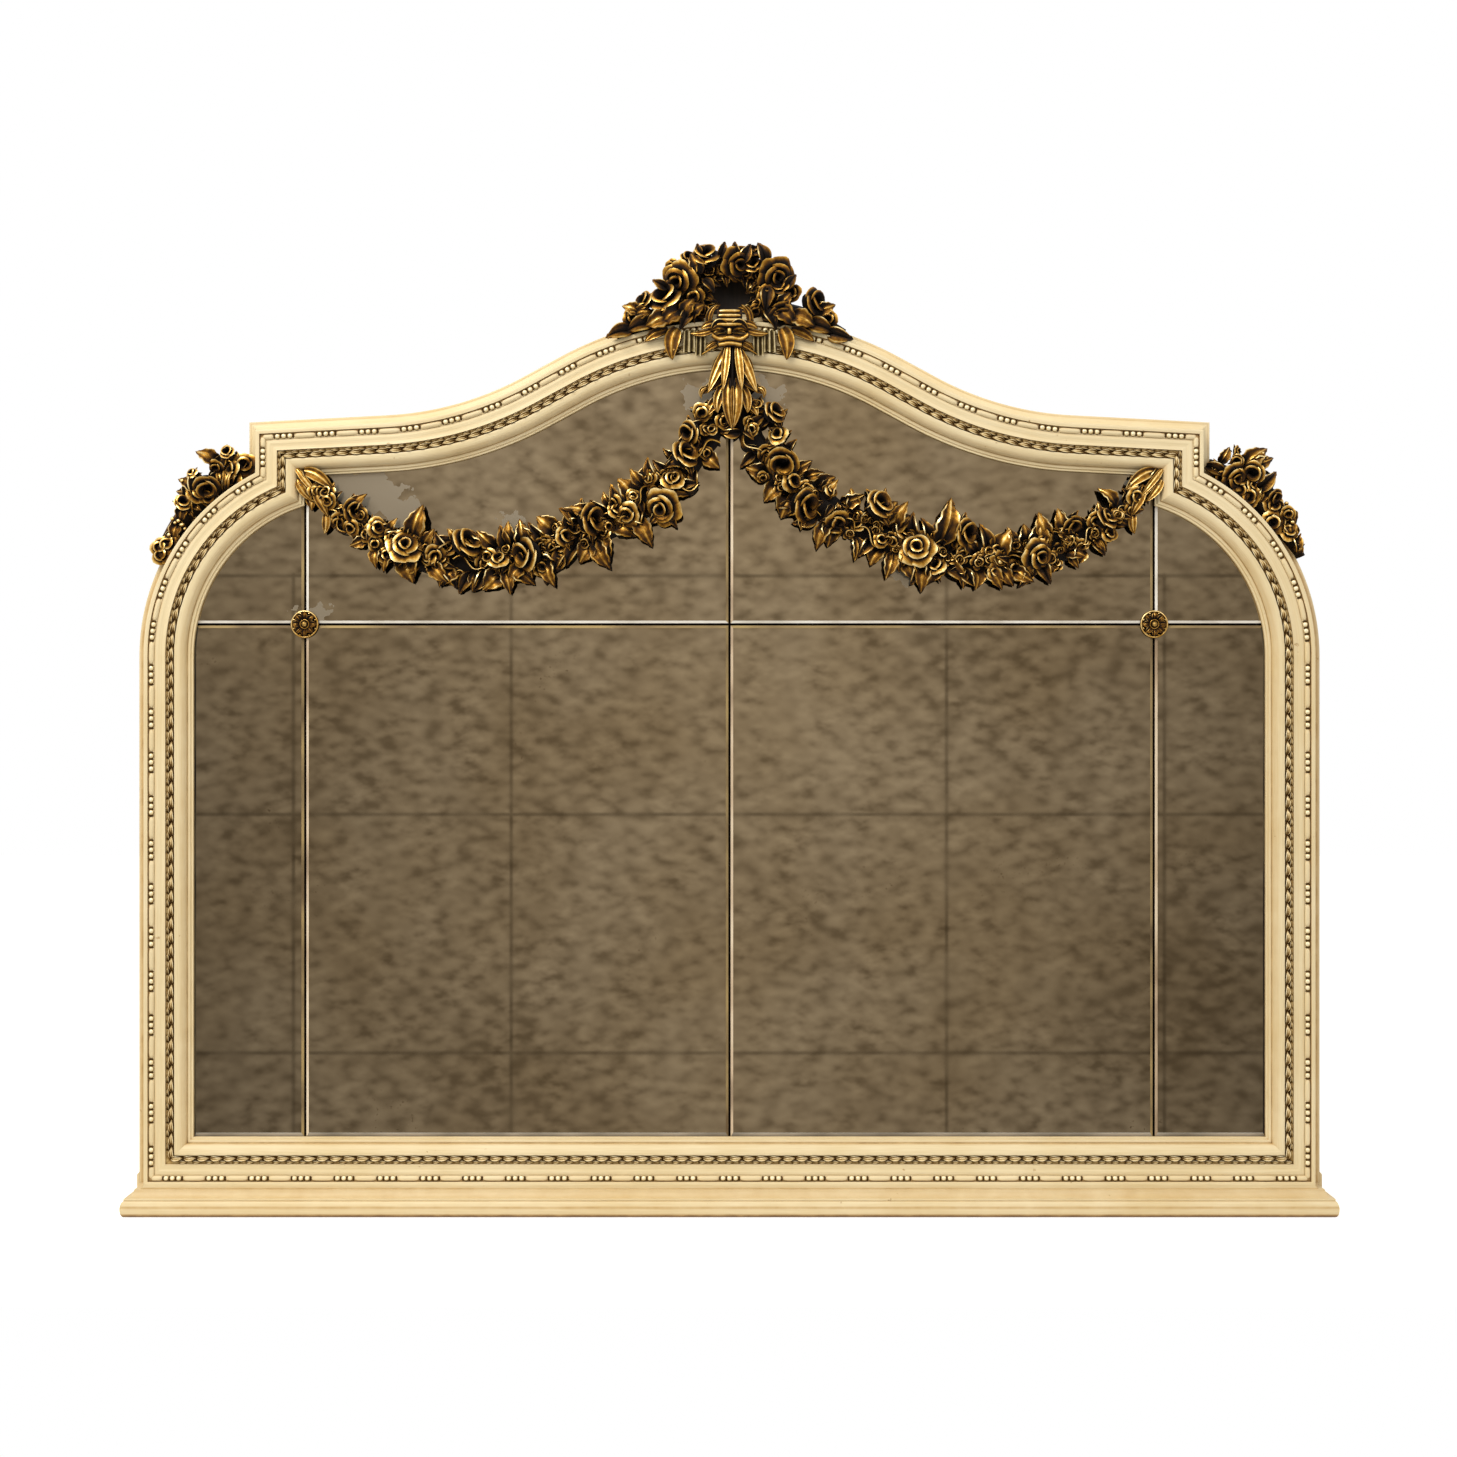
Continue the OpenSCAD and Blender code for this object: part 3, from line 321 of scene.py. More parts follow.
@dataclass(frozen=True)
class OldPine(Finish):
    """Sawn pine, browned by age, with grain along the board."""

    name: str = "old_pine"
    grain: tuple[float, float, float] = (1.0, 1.0, 0.06)
    light: str = "#b08a5a"
    dark: str = "#7a5632"

    def dress(self, node: Adder) -> dict[str, object]:
        """Long grain lines some four millimetres apart, with broad darker bands."""
        run = node("Mapping", node("TexCoord", out="Object"), Scale=self.grain)
        lines = node("TexNoise", run, mm(4), 5.0)
        bands = node("Math", node("TexNoise", run, mm(45), 2.0), 0.4, operation="MULTIPLY")
        tone = node("Math", lines, 0.6, bands, operation="MULTIPLY_ADD")
        return {"Base_Color": node("ValToRGB", tone, stops=((0.36, self.dark), (0.64, self.light))),
                "Roughness": 0.68, "Normal": node("Bump", Distance=0.0003, Height=lines)}


@dataclass(frozen=True)
class WornMetal(Finish):
    """A plain metal with dull patches, as iron hangers or brass fittings have after years."""

    name: str = "forged_iron"
    clean: str = "#5c5854"
    dull: str = "#34302c"
    shine: float = 0.42

    def dress(self, node: Adder) -> dict[str, object]:
        """Patches of tarnish a few millimetres across."""
        patches = node("TexNoise", node("TexCoord", out="Object"), mm(6), 4.0)
        gloss = ((0.4, self.shine + 0.25), (0.6, self.shine))
        return {"Base_Color": node("ValToRGB", patches, stops=((0.4, self.dull), (0.6, self.clean))),
                "Metallic": 0.9, "Roughness": node("ValToRGB", patches, stops=gloss),
                "Normal": node("Bump", Distance=0.00015, Height=patches)}


PAINT = AgedCreamPaint()
GILT = Gilding()
BEAD_GILT = Gilding("pale_bead_gilt", ("#46300f", "#86632f", "#cdae70", "#e9d5a2", "#fbf0cc"),
                    0.2, 0.004, 0.42)
LEAF_GILT = Gilding("olive_leaf_gilt", ("#4a300c", "#926c30", "#d2b77c", "#edd7a3", "#f9edc8"),
                    0.15, 0.006, 0.57)
# A darker copy of the gilding for the crest, partly its own darker tone and partly painted shade over it.
CREST_GILT = Gilding("dark_crest_gilding", bias=0.25)
DRAPERY_GILT = Gilding("greyed_gilt", ("#3a2d16", "#7d6a3e", "#ab9867", "#cdbb8c", "#f0e0ba"),
                       0.3, 0.006, 0.5)
SILVER = AgedSilvering()
# The bevels' tones are painted reflection: pale, warm, brown or dark depending on which edge they lie on and
# which way they face. The blackened backing also darkens the joint walls as painted shade.
SILL_BEVEL = PolishedBevel("sill_bevel", ("#8b867c", "#a09b90", "#b3ada2"), metal=0.3)
LEVEL_BEVEL = PolishedBevel("level_bevel", ("#6d5a3e", "#8d7852", "#a8905f"), metal=0.1, rough=0.6)
PALE_BEVEL = PolishedBevel("pale_bevel", ("#d9d2c4", "#ece6da", "#f8f4ea"), 60.0, 0.1)
WARM_BEVEL = PolishedBevel("warm_bevel", ("#a08a70", "#cdb698", "#e6d4b8"), 120.0, 0.1)
STILE_BEVEL = PolishedBevel("stile_bevel", ("#26262a", "#45443f", "#6b6657"), 150.0, 0.4)
BACKING_PAINT_AND_GAP_SHADE = PolishedBevel("blackened_backing_paint", ("#0a0806", "#0d0a07", "#120e0a"), 60.0, 0.0, 1.0)
PINE_UP = OldPine()
PINE_ACROSS = OldPine("old_pine_across", (0.06, 1.0, 1.0))
STAINED_PINE = OldPine("stained_pine", light="#2e1f10", dark="#1a1008")
IRON = WornMetal()
BRASS = WornMetal("old_brass", "#c9a45c", "#8a6a34", 0.3)


# ---------------------------------------------------------------- mesh helpers

@dataclass(frozen=True)
class Point:
    """A point of a section: across the run, up from the back, and how much painted shade and soiling it gets.
    """

    t: float
    d: float
    grime: float = 0.0
    housed: bool = False


@dataclass(frozen=True)
class Station:
    """One cut across a swept piece.

    Attributes:
        place: Gives the drawing's point for a section point.
        along: Distance along the run in millimetres.
    """

    place: Callable[[Point], Vector]
    along: float = 0.0


def sweep(section: Sequence[Point], stations: Sequence[Station]) -> BMesh:
    """Carries a closed section from station to station and closes both ends.

    Args:
        section: Points of the section, in order round it.
        stations: Cuts that the section passes through.

    Returns:
        A closed shape that carries painted shade and soiling and its own coordinates at each point.
    """
    bm = bmesh.new()
    for name in FLOATS:
        bm.verts.layers.float.new(name)
    bm.verts.layers.int.new("order")
    order = bm.verts.layers.int["order"]
    grime, along, across = (bm.verts.layers.float[name] for name in FLOATS[:3])
    ring = []
    for i, point in enumerate(section):
        vert = bm.verts.new(stations[0].place(point))
        vert[order], vert[grime], vert[across] = i, point.grime, point.t + point.d
        vert[along] = stations[0].along
        ring.append(vert)
    edges = bm.faces.new(ring).edges[:]
    for station in stations[1:]:
        made = bmesh.ops.extrude_edge_only(bm, edges=edges)["geom"]
        edges = [e for e in made if isinstance(e, BMEdge) and e.is_boundary]
        ring = [v for v in made if isinstance(v, BMVert)]
        for vert in ring:
            vert.co = station.place(section[vert[order]])
            vert[along] = station.along
    bm.faces.new(sorted(ring, key=lambda v: v[order]))
    bm.verts.layers.int.remove(order)
    bmesh.ops.remove_doubles(bm, verts=bm.verts[:], dist=0.01)
    bmesh.ops.recalc_face_normals(bm, faces=bm.faces[:])
    return bm


def tint(bm: BMesh, value: float) -> BMesh:
    """Marks a whole shape as painted highlight (towards 1) or painted shade (towards -1)."""
    layers = bm.verts.layers.float
    rim = layers["rim"] if "rim" in layers else layers.new("rim")
    for vert in bm.verts:
        vert[rim] = value
    return bm


def publish(name: str, bm: BMesh, slot: str, *finishes: Finish, sharp: float | None = 38.0) -> None:
    """Lays a drawn piece upright, gives it its finish and puts it on the mirror in place of its CAD node.

    Args:
        name: The CAD node that the piece stands for.
        bm: The piece in the drawing's millimetres; it is used up.
        slot: Not used.
        *finishes: Finishes, in the order of the faces' material numbers.
        sharp: Angle in degrees above which an edge stays sharp, or None for flat faces.
    """
    bmesh.ops.transform(bm, matrix=UPRIGHT, verts=bm.verts[:])
    mesh = bpy.data.meshes.new(name + "_dressed")
    bm.to_mesh(mesh)
    bm.free()
    if sharp is not None:
        mesh.shade_smooth()
        mesh.set_sharp_from_angle(angle=radians(sharp))
    for finish in finishes:
        mesh.materials.append(finish.material())
    piece = bpy.data.objects.new(name + "_dressed", mesh)
    bpy.context.scene.collection.objects.link(piece)
    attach(piece, "mirror")
    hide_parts(name)
    LOG.info("%s: %d faces", piece.name, len(mesh.polygons))


def polar(middle: Sequence[float], radius: float, turn: float) -> Place:
    """A place at a distance from another one, in a direction in radians."""
    return (middle[0] + radius * cos(turn), middle[1] + radius * sin(turn))


def ridge(line: Iterable[tuple[Sequence[float], Sequence[float], float]], back: float, rise: float,
          rim: float = -1.0) -> BMesh:
    """The low rounded ground that a carving stands on, dark by default as painted shade between the forms.

    Args:
        line: Middle, direction across and half the width of each cut.
        back: Depth of its flat back.
        rise: Height of its crown above that.
        rim: Brightness of the whole, from painted shade at -1 to painted highlight at 1.

    Returns:
        The closed ground.
    """
    def station(middle: Sequence[float], across: Sequence[float], half: float) -> Station:
        return Station(lambda p: Vector((*(m + a * half * p.t for m, a in zip(middle, across)),
                                         back + rise * p.d)))
    half_round = [Point(cos(radians(a)), sin(radians(a))) for a in range(0, 181, 30)]
    return tint(sweep(half_round, [station(*cut) for cut in line]), rim)


class Track:
    """A line on the mirror's face, measured along its length."""

    def __init__(self, points: Iterable[Sequence[float]]) -> None:
        """Keeps the line's points and the distance to each.

        Args:
            points: x and height of points along the line.
        """
        self.points = [Vector(p) for p in points]
        self.marks = [0.0]
        for a, b in zip(self.points, self.points[1:]):
            self.marks.append(self.marks[-1] + (b - a).length)

    @property
    def length(self) -> float:
        """Length of the line in millimetres."""
        return self.marks[-1]

    def at(self, s: float) -> tuple[Vector, float]:
        """A place on the line.

        Args:
            s: Distance along the line.

        Returns:
            The point, and the line's direction there in radians.
        """
        i = 1
        while i < len(self.marks) - 1 and self.marks[i] < s:
            i += 1
        a, b = self.points[i - 1], self.points[i]
        share = (s - self.marks[i - 1]) / max(1e-6, self.marks[i] - self.marks[i - 1])
        return a.lerp(b, share), atan2(b.y - a.y, b.x - a.x)


# ---------------------------------------------------------------- the mirror's lines

@dataclass(frozen=True)
class FaceLines:
    """Sight edge of the right half, with the same sizes as the CAD model's."""

    sight_half_w: float = 804.5
    sill_z: float = 111.5
    stile_h: float = 722.5
    shoulder_r: float = 235.5
    ear_in: float = 166.5
    ear_h: float = 44.6
    flat_len: float = 126.0
    flat_angle: float = radians(3)
    rise_angle: float = radians(28.5)
    rise_len: float = 62.9
    crown_r: float = 450.0
    plinth_h: float = 38.0

    @property
    def ear_x(self) -> float:
        """Sight edge of the ear."""
        return self.sight_half_w - self.ear_in

    @property
    def shoulder_c(self) -> Place:
        """Centre of the shoulder's bend."""
        return (self.sight_half_w - self.shoulder_r, self.sill_z + self.stile_h)

    @property
    def ear_top(self) -> Place:
        """Sight corner at the ear's top."""
        return (self.ear_x, self.foot_curve(0) + self.ear_h)

    @property
    def ear_slope(self) -> float:
        """Slope of the mitre at the ear's top."""
        return (1 - sin(self.flat_angle)) / cos(self.flat_angle)

    @property
    def flat_end(self) -> Place:
        """Inner end of the almost level length."""
        return polar(self.ear_top, self.flat_len, pi - self.flat_angle)

    @property
    def cove_r(self) -> float:
        """Radius of the hollow sweep, which takes what the other lengths leave."""
        spare = (self.ear_x - self.flat_len * cos(self.flat_angle) - self.rise_len * cos(self.rise_angle)
                 - self.crown_r * sin(self.rise_angle))
        return spare / (sin(self.rise_angle) - sin(self.flat_angle))

    @property
    def cove_c(self) -> Place:
        """Centre of the hollow sweep."""
        return polar(self.flat_end, self.cove_r, pi / 2 - self.flat_angle)

    @property
    def crown_c(self) -> Place:
        """Centre of the crown's arch."""
        x, h = polar(self.cove_c, self.cove_r, -pi / 2 - self.rise_angle)
        foot_x = self.crown_r * sin(self.rise_angle)
        return (0.0, h + (x - foot_x) * tan(self.rise_angle) - self.crown_r * cos(self.rise_angle))

    @property
    def crown_top(self) -> float:
        """Height of the crown's sight edge in the middle."""
        return self.crown_c[1] + self.crown_r

    @property
    def joint_z(self) -> float:
        """Height of the level joint between the panes."""
        return self.shoulder_c[1] + 47.0

    def foot_curve(self, t: float) -> float:
        """Height at which the shoulder's line meets the ear's, at a distance from the sight edge."""
        x, h = self.shoulder_c
        return h + sqrt((self.shoulder_r + t) ** 2 - (self.ear_x + t - x) ** 2)

    def sill_corner(self, t: float) -> Place:
        """Mitre of the sill and the stile, stopped at the plinth's top."""
        return (self.sight_half_w + t, max(self.sill_z - t, self.plinth_h))

    def sill_end(self, t: float) -> Place:
        """The sill's own end, which stops short where the plinth's top cuts it."""
        t = min(t, self.sill_z - self.plinth_h)
        return (self.sight_half_w + t, self.sill_z - t)

    def sill_at(self, t: float, share: float) -> Place:
        """A place on the sill, from its left end at 0 to its right end at 1."""
        x, h = self.sill_end(t)
        return (x * (2 * share - 1), h)

    def stile_at(self, t: float, h: float) -> Place:
        """A place on the stile."""
        return (self.sight_half_w + t, h)

    def shoulder_at(self, t: float, share: float) -> Place:
        """A place on the shoulder, by its share of the bend."""
        x, h = self.shoulder_c
        turn = share * acos((self.ear_x + t - x) / (self.shoulder_r + t))
        return polar((x, h), self.shoulder_r + t, turn)

    def ear_at(self, t: float, share: float) -> Place:
        """A place on the ear, from its foot to the mitre at its top."""
        foot = self.foot_curve(t)
        top = self.ear_top[1] + self.ear_slope * t
        return (self.ear_x + t, foot + share * (top - foot))

    def cove_at(self, t: float, share: float) -> Place:
        """A place on the hollow sweep."""
        turn = -pi / 2 - self.flat_angle - share * (self.rise_angle - self.flat_angle)
        return polar(self.cove_c, self.cove_r - t, turn)

    def crown_at(self, t: float, share: float) -> Place:
        """A place on the crown, from its right foot at 0 to its left foot at 1."""
        turn = pi / 2 - self.rise_angle + 2 * share * self.rise_angle
        return polar(self.crown_c, self.crown_r + t, turn)


LINES = FaceLines()


def cut(across: Callable[[float], Place], along: float, mirrored: bool, back: float = 0.0) -> Station:
    """A station whose section stands on the face's drawing.

    Args:
        across: Gives x and height for a distance from the sight edge.
        along: Distance along the run.
        mirrored: Whether the cut belongs to the left half.
        back: Depth at which the housed part of the back lies.

    Returns:
        The station.
    """
    def place(point: Point) -> Vector:
        x, h = across(point.t)
        return Vector((-x if mirrored else x, h, max(point.d, back) if point.housed else point.d))
    return Station(place, along)


class Run(Enum):
    """Members of the frame, as the runs that a section follows."""

    SILL = "sill"
    STILE = "stile"
    SHOULDER = "shoulder"
    EAR = "ear"
    OGEE = "ogee"
    CROWN = "crown"


@dataclass(frozen=True)
class Runs:
    """Stations of each member of the frame."""

    batten_z: tuple[float, float] = (300.0, 620.0)
    batten_half: float = 30.3
    batten_bed: float = 18.3

    def stations(self, run: Run, mirrored: bool = False) -> list[Station]:
        """Cuts along one member.

        Args:
            run: The member.
            mirrored: Whether it is the left one of a pair.

        Returns:
            Its stations in order.
        """
        L = LINES

        def bend(at: Callable[[float, float], Place], steps: int, start: float,
                 length: float) -> list[Station]:
            return [cut(lambda t, s=i / steps: at(t, s), start + length * i / steps, mirrored)
                    for i in range(steps + 1)]
        if run is Run.STILE:
            made = [cut(L.sill_corner, 0.0, mirrored)]
            for z in self.batten_z:
                for h, back in ((z - self.batten_half, 0.0), (z - self.batten_half, self.batten_bed),
                                (z + self.batten_half, self.batten_bed), (z + self.batten_half, 0.0)):
                    made.append(cut(lambda t, h=h: L.stile_at(t, h), h, mirrored, back))
            return [*made, cut(lambda t: L.shoulder_at(t, 0), L.shoulder_c[1], mirrored)]
        if run is Run.OGEE:
            return [cut(lambda t: L.ear_at(t, 1), 1170, mirrored), *bend(L.cove_at, 18, 1300, 240),
                    cut(lambda t: L.crown_at(t, 0), 1610, mirrored)]
        return bend(*{Run.SILL: (L.sill_at, 8, 0, 1700), Run.SHOULDER: (L.shoulder_at, 28, 800, 300),
                      Run.EAR: (L.ear_at, 2, 1100, 60), Run.CROWN: (L.crown_at, 36, 1610, 470)}[run])

    def track(self, t: float, *runs: Run, mirrored: bool = False) -> Track:
        """The line at one distance from the sight edge along some members."""
        points: list[Place] = []
        for run in runs:
            for station in self.stations(run, mirrored):
                x, h, _ = station.place(Point(t, 0))
                if not points or hypot(x - points[-1][0], h - points[-1][1]) > 0.05:
                    points.append((x, h))
        return Track(points)


RUNS = Runs()


# ---------------------------------------------------------------- carved forms

def swell(x: float, low: float, high: float) -> float:
    """Smooth step from 0 at low to 1 at high."""
    x = min(1.0, max(0.0, (x - low) / (high - low)))
    return x * x * (3 - 2 * x)


def patch(shape: Callable[[float, float], Shaped], columns: int, rows: int,
          thickness: float) -> BMesh:
    """Shapes a grid into one carved sheet and gives it thickness.

    Args:
        shape: Gives a point and its rim value from u in -1 to 1 and v in 0 to 1.
        columns: Faces across.
        rows: Faces along.
        thickness: Thickness of the sheet.

    Returns:
        A closed shell with its rim values.
    """
    bm = bmesh.new()
    rim = bm.verts.layers.float.new("rim")
    bmesh.ops.create_grid(bm, x_segments=columns, y_segments=rows, size=1.0)
    for vert in bm.verts:
        place, vert[rim] = shape(vert.co.x, (vert.co.y + 1) / 2)
        vert.co = Vector(place)
    bmesh.ops.remove_doubles(bm, verts=bm.verts[:], dist=1e-4)
    bm.normal_update()
    back = [(vert, vert.normal.copy()) for vert in bm.verts]
    bmesh.ops.extrude_face_region(bm, geom=bm.faces[:])
    for vert, normal in back:
        vert.co -= normal * thickness
    bmesh.ops.recalc_face_normals(bm, faces=bm.faces[:])
    return bm


def merge(target: BMesh, mesh: bpy.types.Mesh, matrix: Matrix) -> None:
    """Moves a mesh to its place in a shape and removes it."""
    mesh.transform(matrix)
    if matrix.determinant() < 0:
        mesh.flip_normals()
    target.from_mesh(mesh)
    bpy.data.meshes.remove(mesh)


def absorb(target: BMesh, part: BMesh, matrix: Matrix = Matrix()) -> None:
    """Adds a shape to another one and frees it.

    Args:
        target: Shape that grows.
        part: Shape that is added; it is used up.
        matrix: Place of the part.
    """
    mesh = bpy.data.meshes.new("part")
    part.to_mesh(mesh)
    part.free()
    merge(target, mesh, matrix)


@dataclass(frozen=True)
class PetalRing:
    """One ring of wrapped petals.

    Attributes:
        count: Petals in the ring.
        inner: Radius at their feet.
        outer: Radius at their rims.
        low: Height of their feet.
        high: Height of their rims.
        spread: Half of the angle that each covers, in degrees.
        roll: How far the rim rolls outwards.
        tip: How far the middle of the rim is drawn to a point.
        spiral: How much one side of a petal lies over its neighbour.
        turn: Turn of the ring in degrees.
    """

    count: int
    inner: float
    outer: float
    low: float
    high: float
    spread: float
    roll: float = 0.12
    tip: float = 0.1
    spiral: float = 0.1
    turn: float = 0.0

    def add_to(self, bm: BMesh, columns: int, rows: int) -> None:
        """Adds the ring's petals to a rose."""
        def petal(u: float, v: float) -> Shaped:
            turn = radians(self.spread) * u * (0.55 + 0.45 * v ** 0.6)
            point = exp(-(u / 0.3) ** 2) * v ** 3
            fold = max(0.0, v - 0.7) / 0.3
            r = (self.inner + (self.outer - self.inner) * v ** 1.2) * (1 + self.spiral * u)
            r = r * (1 - 0.16 * u ** 4 * v) + self.roll * fold ** 1.5 + self.tip * point
            rise = (self.high - self.low) * (1 - (1 - v) ** 2) * (1 - 0.3 * abs(u) ** 3)
            h = self.low + rise - self.roll * 1.1 * fold ** 2 - 0.5 * self.tip * point
            # Painted highlight along each petal's rim, and painted shade towards its foot.
            rim = swell(v, 0.82, 0.99) - 0.3 * swell(1 - v, 0.4, 1)
            return (r * cos(turn), r * sin(turn), h + 0.03 * cos(5 * u) * v), rim
        for i in range(self.count):
            turn = Matrix.Rotation(radians(self.turn) + 2 * pi * i / self.count, 4, "Z")
            absorb(bm, patch(petal, columns, rows, 0.075), turn)


class CarvingKit:
    """The carved forms at unit size, made once and copied wherever they are needed."""

    def __init__(self) -> None:
        """Makes every form."""
        self.forms: dict[Form, bpy.types.Mesh] = {}
        self._rose(Form.ROSE, (PetalRing(5, 0.3, 0.92, 0.0, 0.45, 50, 0.14, 0.16, 0.08),
                               PetalRing(3, 0.34, 0.62, 0.05, 0.85, 74, 0.12, 0.05, 0.16, 30),
                               PetalRing(2, 0.2, 0.32, 0.1, 0.92, 104, 0.06, 0.0, 0.2, 75)))
        self._rose(Form.CUP_ROSE, (PetalRing(3, 0.42, 0.84, 0.0, 0.7, 76, 0.12, 0.12, 0.14),
                                   PetalRing(2, 0.4, 0.6, 0.1, 1.05, 108, 0.08, 0.06, 0.16, 40)))
        self._rose(Form.SMALL_ROSE, (PetalRing(3, 0.4, 0.85, 0.0, 0.6, 72, 0.16, 0.16),
                                     PetalRing(2, 0.36, 0.48, 0.1, 0.95, 100, 0.12, 0.0, 0.2, 36)), 0, 7, 4)
        self._rose(Form.DAISY, (PetalRing(7, 0.2, 0.95, 0.1, 0.3, 22, 0.05, 0.14, 0.0),), 0.3, 4, 4)
        self._leaf(Form.LEAF, 0.46, 0.0, 0, rib=-1.0)
        self._leaf(Form.TOOTHED_LEAF, 0.58, 0.22, 3.5)
        self._leaf(Form.SHELL_LEAF, 0.78, 0.12, 3.5, 4)
        self._leaf(Form.FLUTED_LEAF, 0.24, 0.0, 0, 1, 10, 16)
        self._leaf(Form.COURSE_LEAF, 0.42, 0.0, 0, 0, 6, 7)
        self._ribbon()
        self._ball(Form.BERRY, 8, 6)
        self._ball(Form.BARREL, 10, 9, 0.35)
        self._ball(Form.BEAD, 10, 8, 1.0, 1.6)
        self._ball(Form.SHADE, 8, 5, 1.0, 0.0, -1.0)
        self._bud()

    def _keep(self, form: Form, bm: BMesh) -> None:
        """Keeps a finished form."""
        mesh = bpy.data.meshes.new(form.value)
        bm.to_mesh(mesh)
        bm.free()
        self.forms[form] = mesh

    def _rose(self, form: Form, rings: Sequence[PetalRing], heart: float = 0.0, columns: int = 9,
              rows: int = 5) -> None:
        """Makes a rose from its rings of petals, on a low round base painted dark as shade."""
        bm = bmesh.new()
        bmesh.ops.create_cone(bm, cap_ends=True, segments=14, radius1=0.78, radius2=0.3, depth=0.24,
                              matrix=Matrix.Translation((0, 0, 0.06)))
        tint(bm, -1.0)
        for ring in rings:
            ring.add_to(bm, columns, rows)
        # A heart, where there is one, is painted bright as a highlight.
        if heart:
            ball = bmesh.new()
            bmesh.ops.create_uvsphere(ball, u_segments=10, v_segments=7, radius=heart)
            absorb(bm, tint(ball, 1.0), Matrix.Translation((0, 0, 0.25)))
        self._keep(form, bm)

    def _leaf(self, form: Form, width: float, teeth: float, count: float, flutes: int = 0,
              columns: int = 8, rows: int = 10, rib: float = 1.0) -> None:
        """Makes a leaf along x with a midrib, raised edges, teeth and flutes.

        Args:
            form: Form that it is kept as.
            width: Greatest width as a share of the length.
            teeth: Depth of the teeth as a share of the width.
            count: Teeth on each side.
            flutes: Flutes on each side of the midrib.
            columns: Faces across.
            rows: Faces along.
            rib: Height of the midrib, negative for a fold.
        """
        def shape(u: float, v: float) -> Shaped:
            tooth = abs(sin(pi * count * v)) ** 0.8 if count else 0.5
            half = width / 2 * max(0.0, sin(pi * min(1.0, 0.05 + v * 0.95) ** 0.75)) ** 0.75
            half *= 1 - teeth * (1 - tooth)
            edge = abs(u)
            z = 0.2 * sin(pi * v) ** 1.2 + 0.55 * half * edge ** 2.2 - 0.16 * max(0.0, v - 0.72) ** 1.3
            z += 0.07 * rib * exp(-(u / 0.17) ** 2) * (1 - 0.6 * v)
            flute = -cos(2 * pi * flutes * edge) if flutes else 0.0
            z += 0.045 * flute * (1 - v) ** 0.3 * min(1.0, width * 2) + 0.02 * cos(2 * pi * count * v) * edge
            x = v + (0.10 * teeth * edge * tooth if count else 0.0) - 0.05 * edge * edge
            # Painted highlight on the midrib, the edges and the flutes' ridges, and painted shade along a
            # folded middle and towards the root.
            rim = max(rib * exp(-(u / 0.15) ** 2) * 0.8, swell(edge, 0.72, 0.96), 0.8 * swell(flute, 0.2, 1))
            rim += min(0.0, rib) * 0.5 * exp(-(u / 0.3) ** 2)
            return (x, u * half, z), rim - 0.5 * swell(1 - v, 0.6, 1)
        self._keep(form, patch(shape, columns, rows, 0.04))

    def _ribbon(self) -> None:
        """Makes an S-shaped band that stands half on its edge, as the curled stems and tendrils do."""
        def shape(u: float, v: float) -> Shaped:
            bend = 0.2 * sin(2 * pi * v)
            height = 0.16 + 0.12 * sin(pi * v)
            # Painted highlight along the band's upper edge.
            return (v, bend + 0.055 * u, height * (1 + u) / 2 + 0.02), 0.7 * swell(u, 0.2, 0.9)
        self._keep(Form.CURLED_RIBBON, patch(shape, 4, 22, 0.035))

    def _ball(self, form: Form, around: int, up: int, blunt: float = 1.0, worn: float = 0.0,
              base: float = 0.0) -> None:
        """Makes a round form.

        Args:
            form: Form that it is kept as.
            around: Faces round it.
            up: Faces from end to end.
            blunt: Below 1 for blunt ends.
            worn: How much darker its two ends are than its crown, as painted shade where it meets its
                neighbours.
            base: Brightness that is added all over.
        """
        bm = bmesh.new()
        rim = bm.verts.layers.float.new("rim")
        bmesh.ops.create_uvsphere(bm, u_segments=around, v_segments=up, radius=1.0,
                                  matrix=Matrix.Rotation(pi / 2, 4, "Y"))
        for vert in bm.verts:
            x = vert.co.x
            vert.co.x = (abs(x) ** blunt) * (1 if x > 0 else -1)
            # Painted light: the crown is lighter than the sides, and the ends are darker as painted shade.
            vert[rim] = swell(vert.co.z, -0.3, 0.5) - worn * swell(abs(x), 0.55, 1) + base * 2
        self._keep(form, bm)

    def _bud(self) -> None:
        """Makes a closed bud of three wrapped petals in a cup of small leaves."""
        bm = bmesh.new()
        bm.verts.layers.float.new("rim")
        PetalRing(4, 0.25, 0.85, 0.0, 0.3, 34, 0.1, 0.16).add_to(bm, 5, 4)
        PetalRing(2, 0.34, 0.5, 0.05, 0.95, 104, 0.06, 0.1, 0.2, 20).add_to(bm, 9, 5)
        PetalRing(2, 0.18, 0.24, 0.1, 1.0, 100, 0.03, 0.0, 0.2, 100).add_to(bm, 7, 4)
        self._keep(Form.BUD, bm)


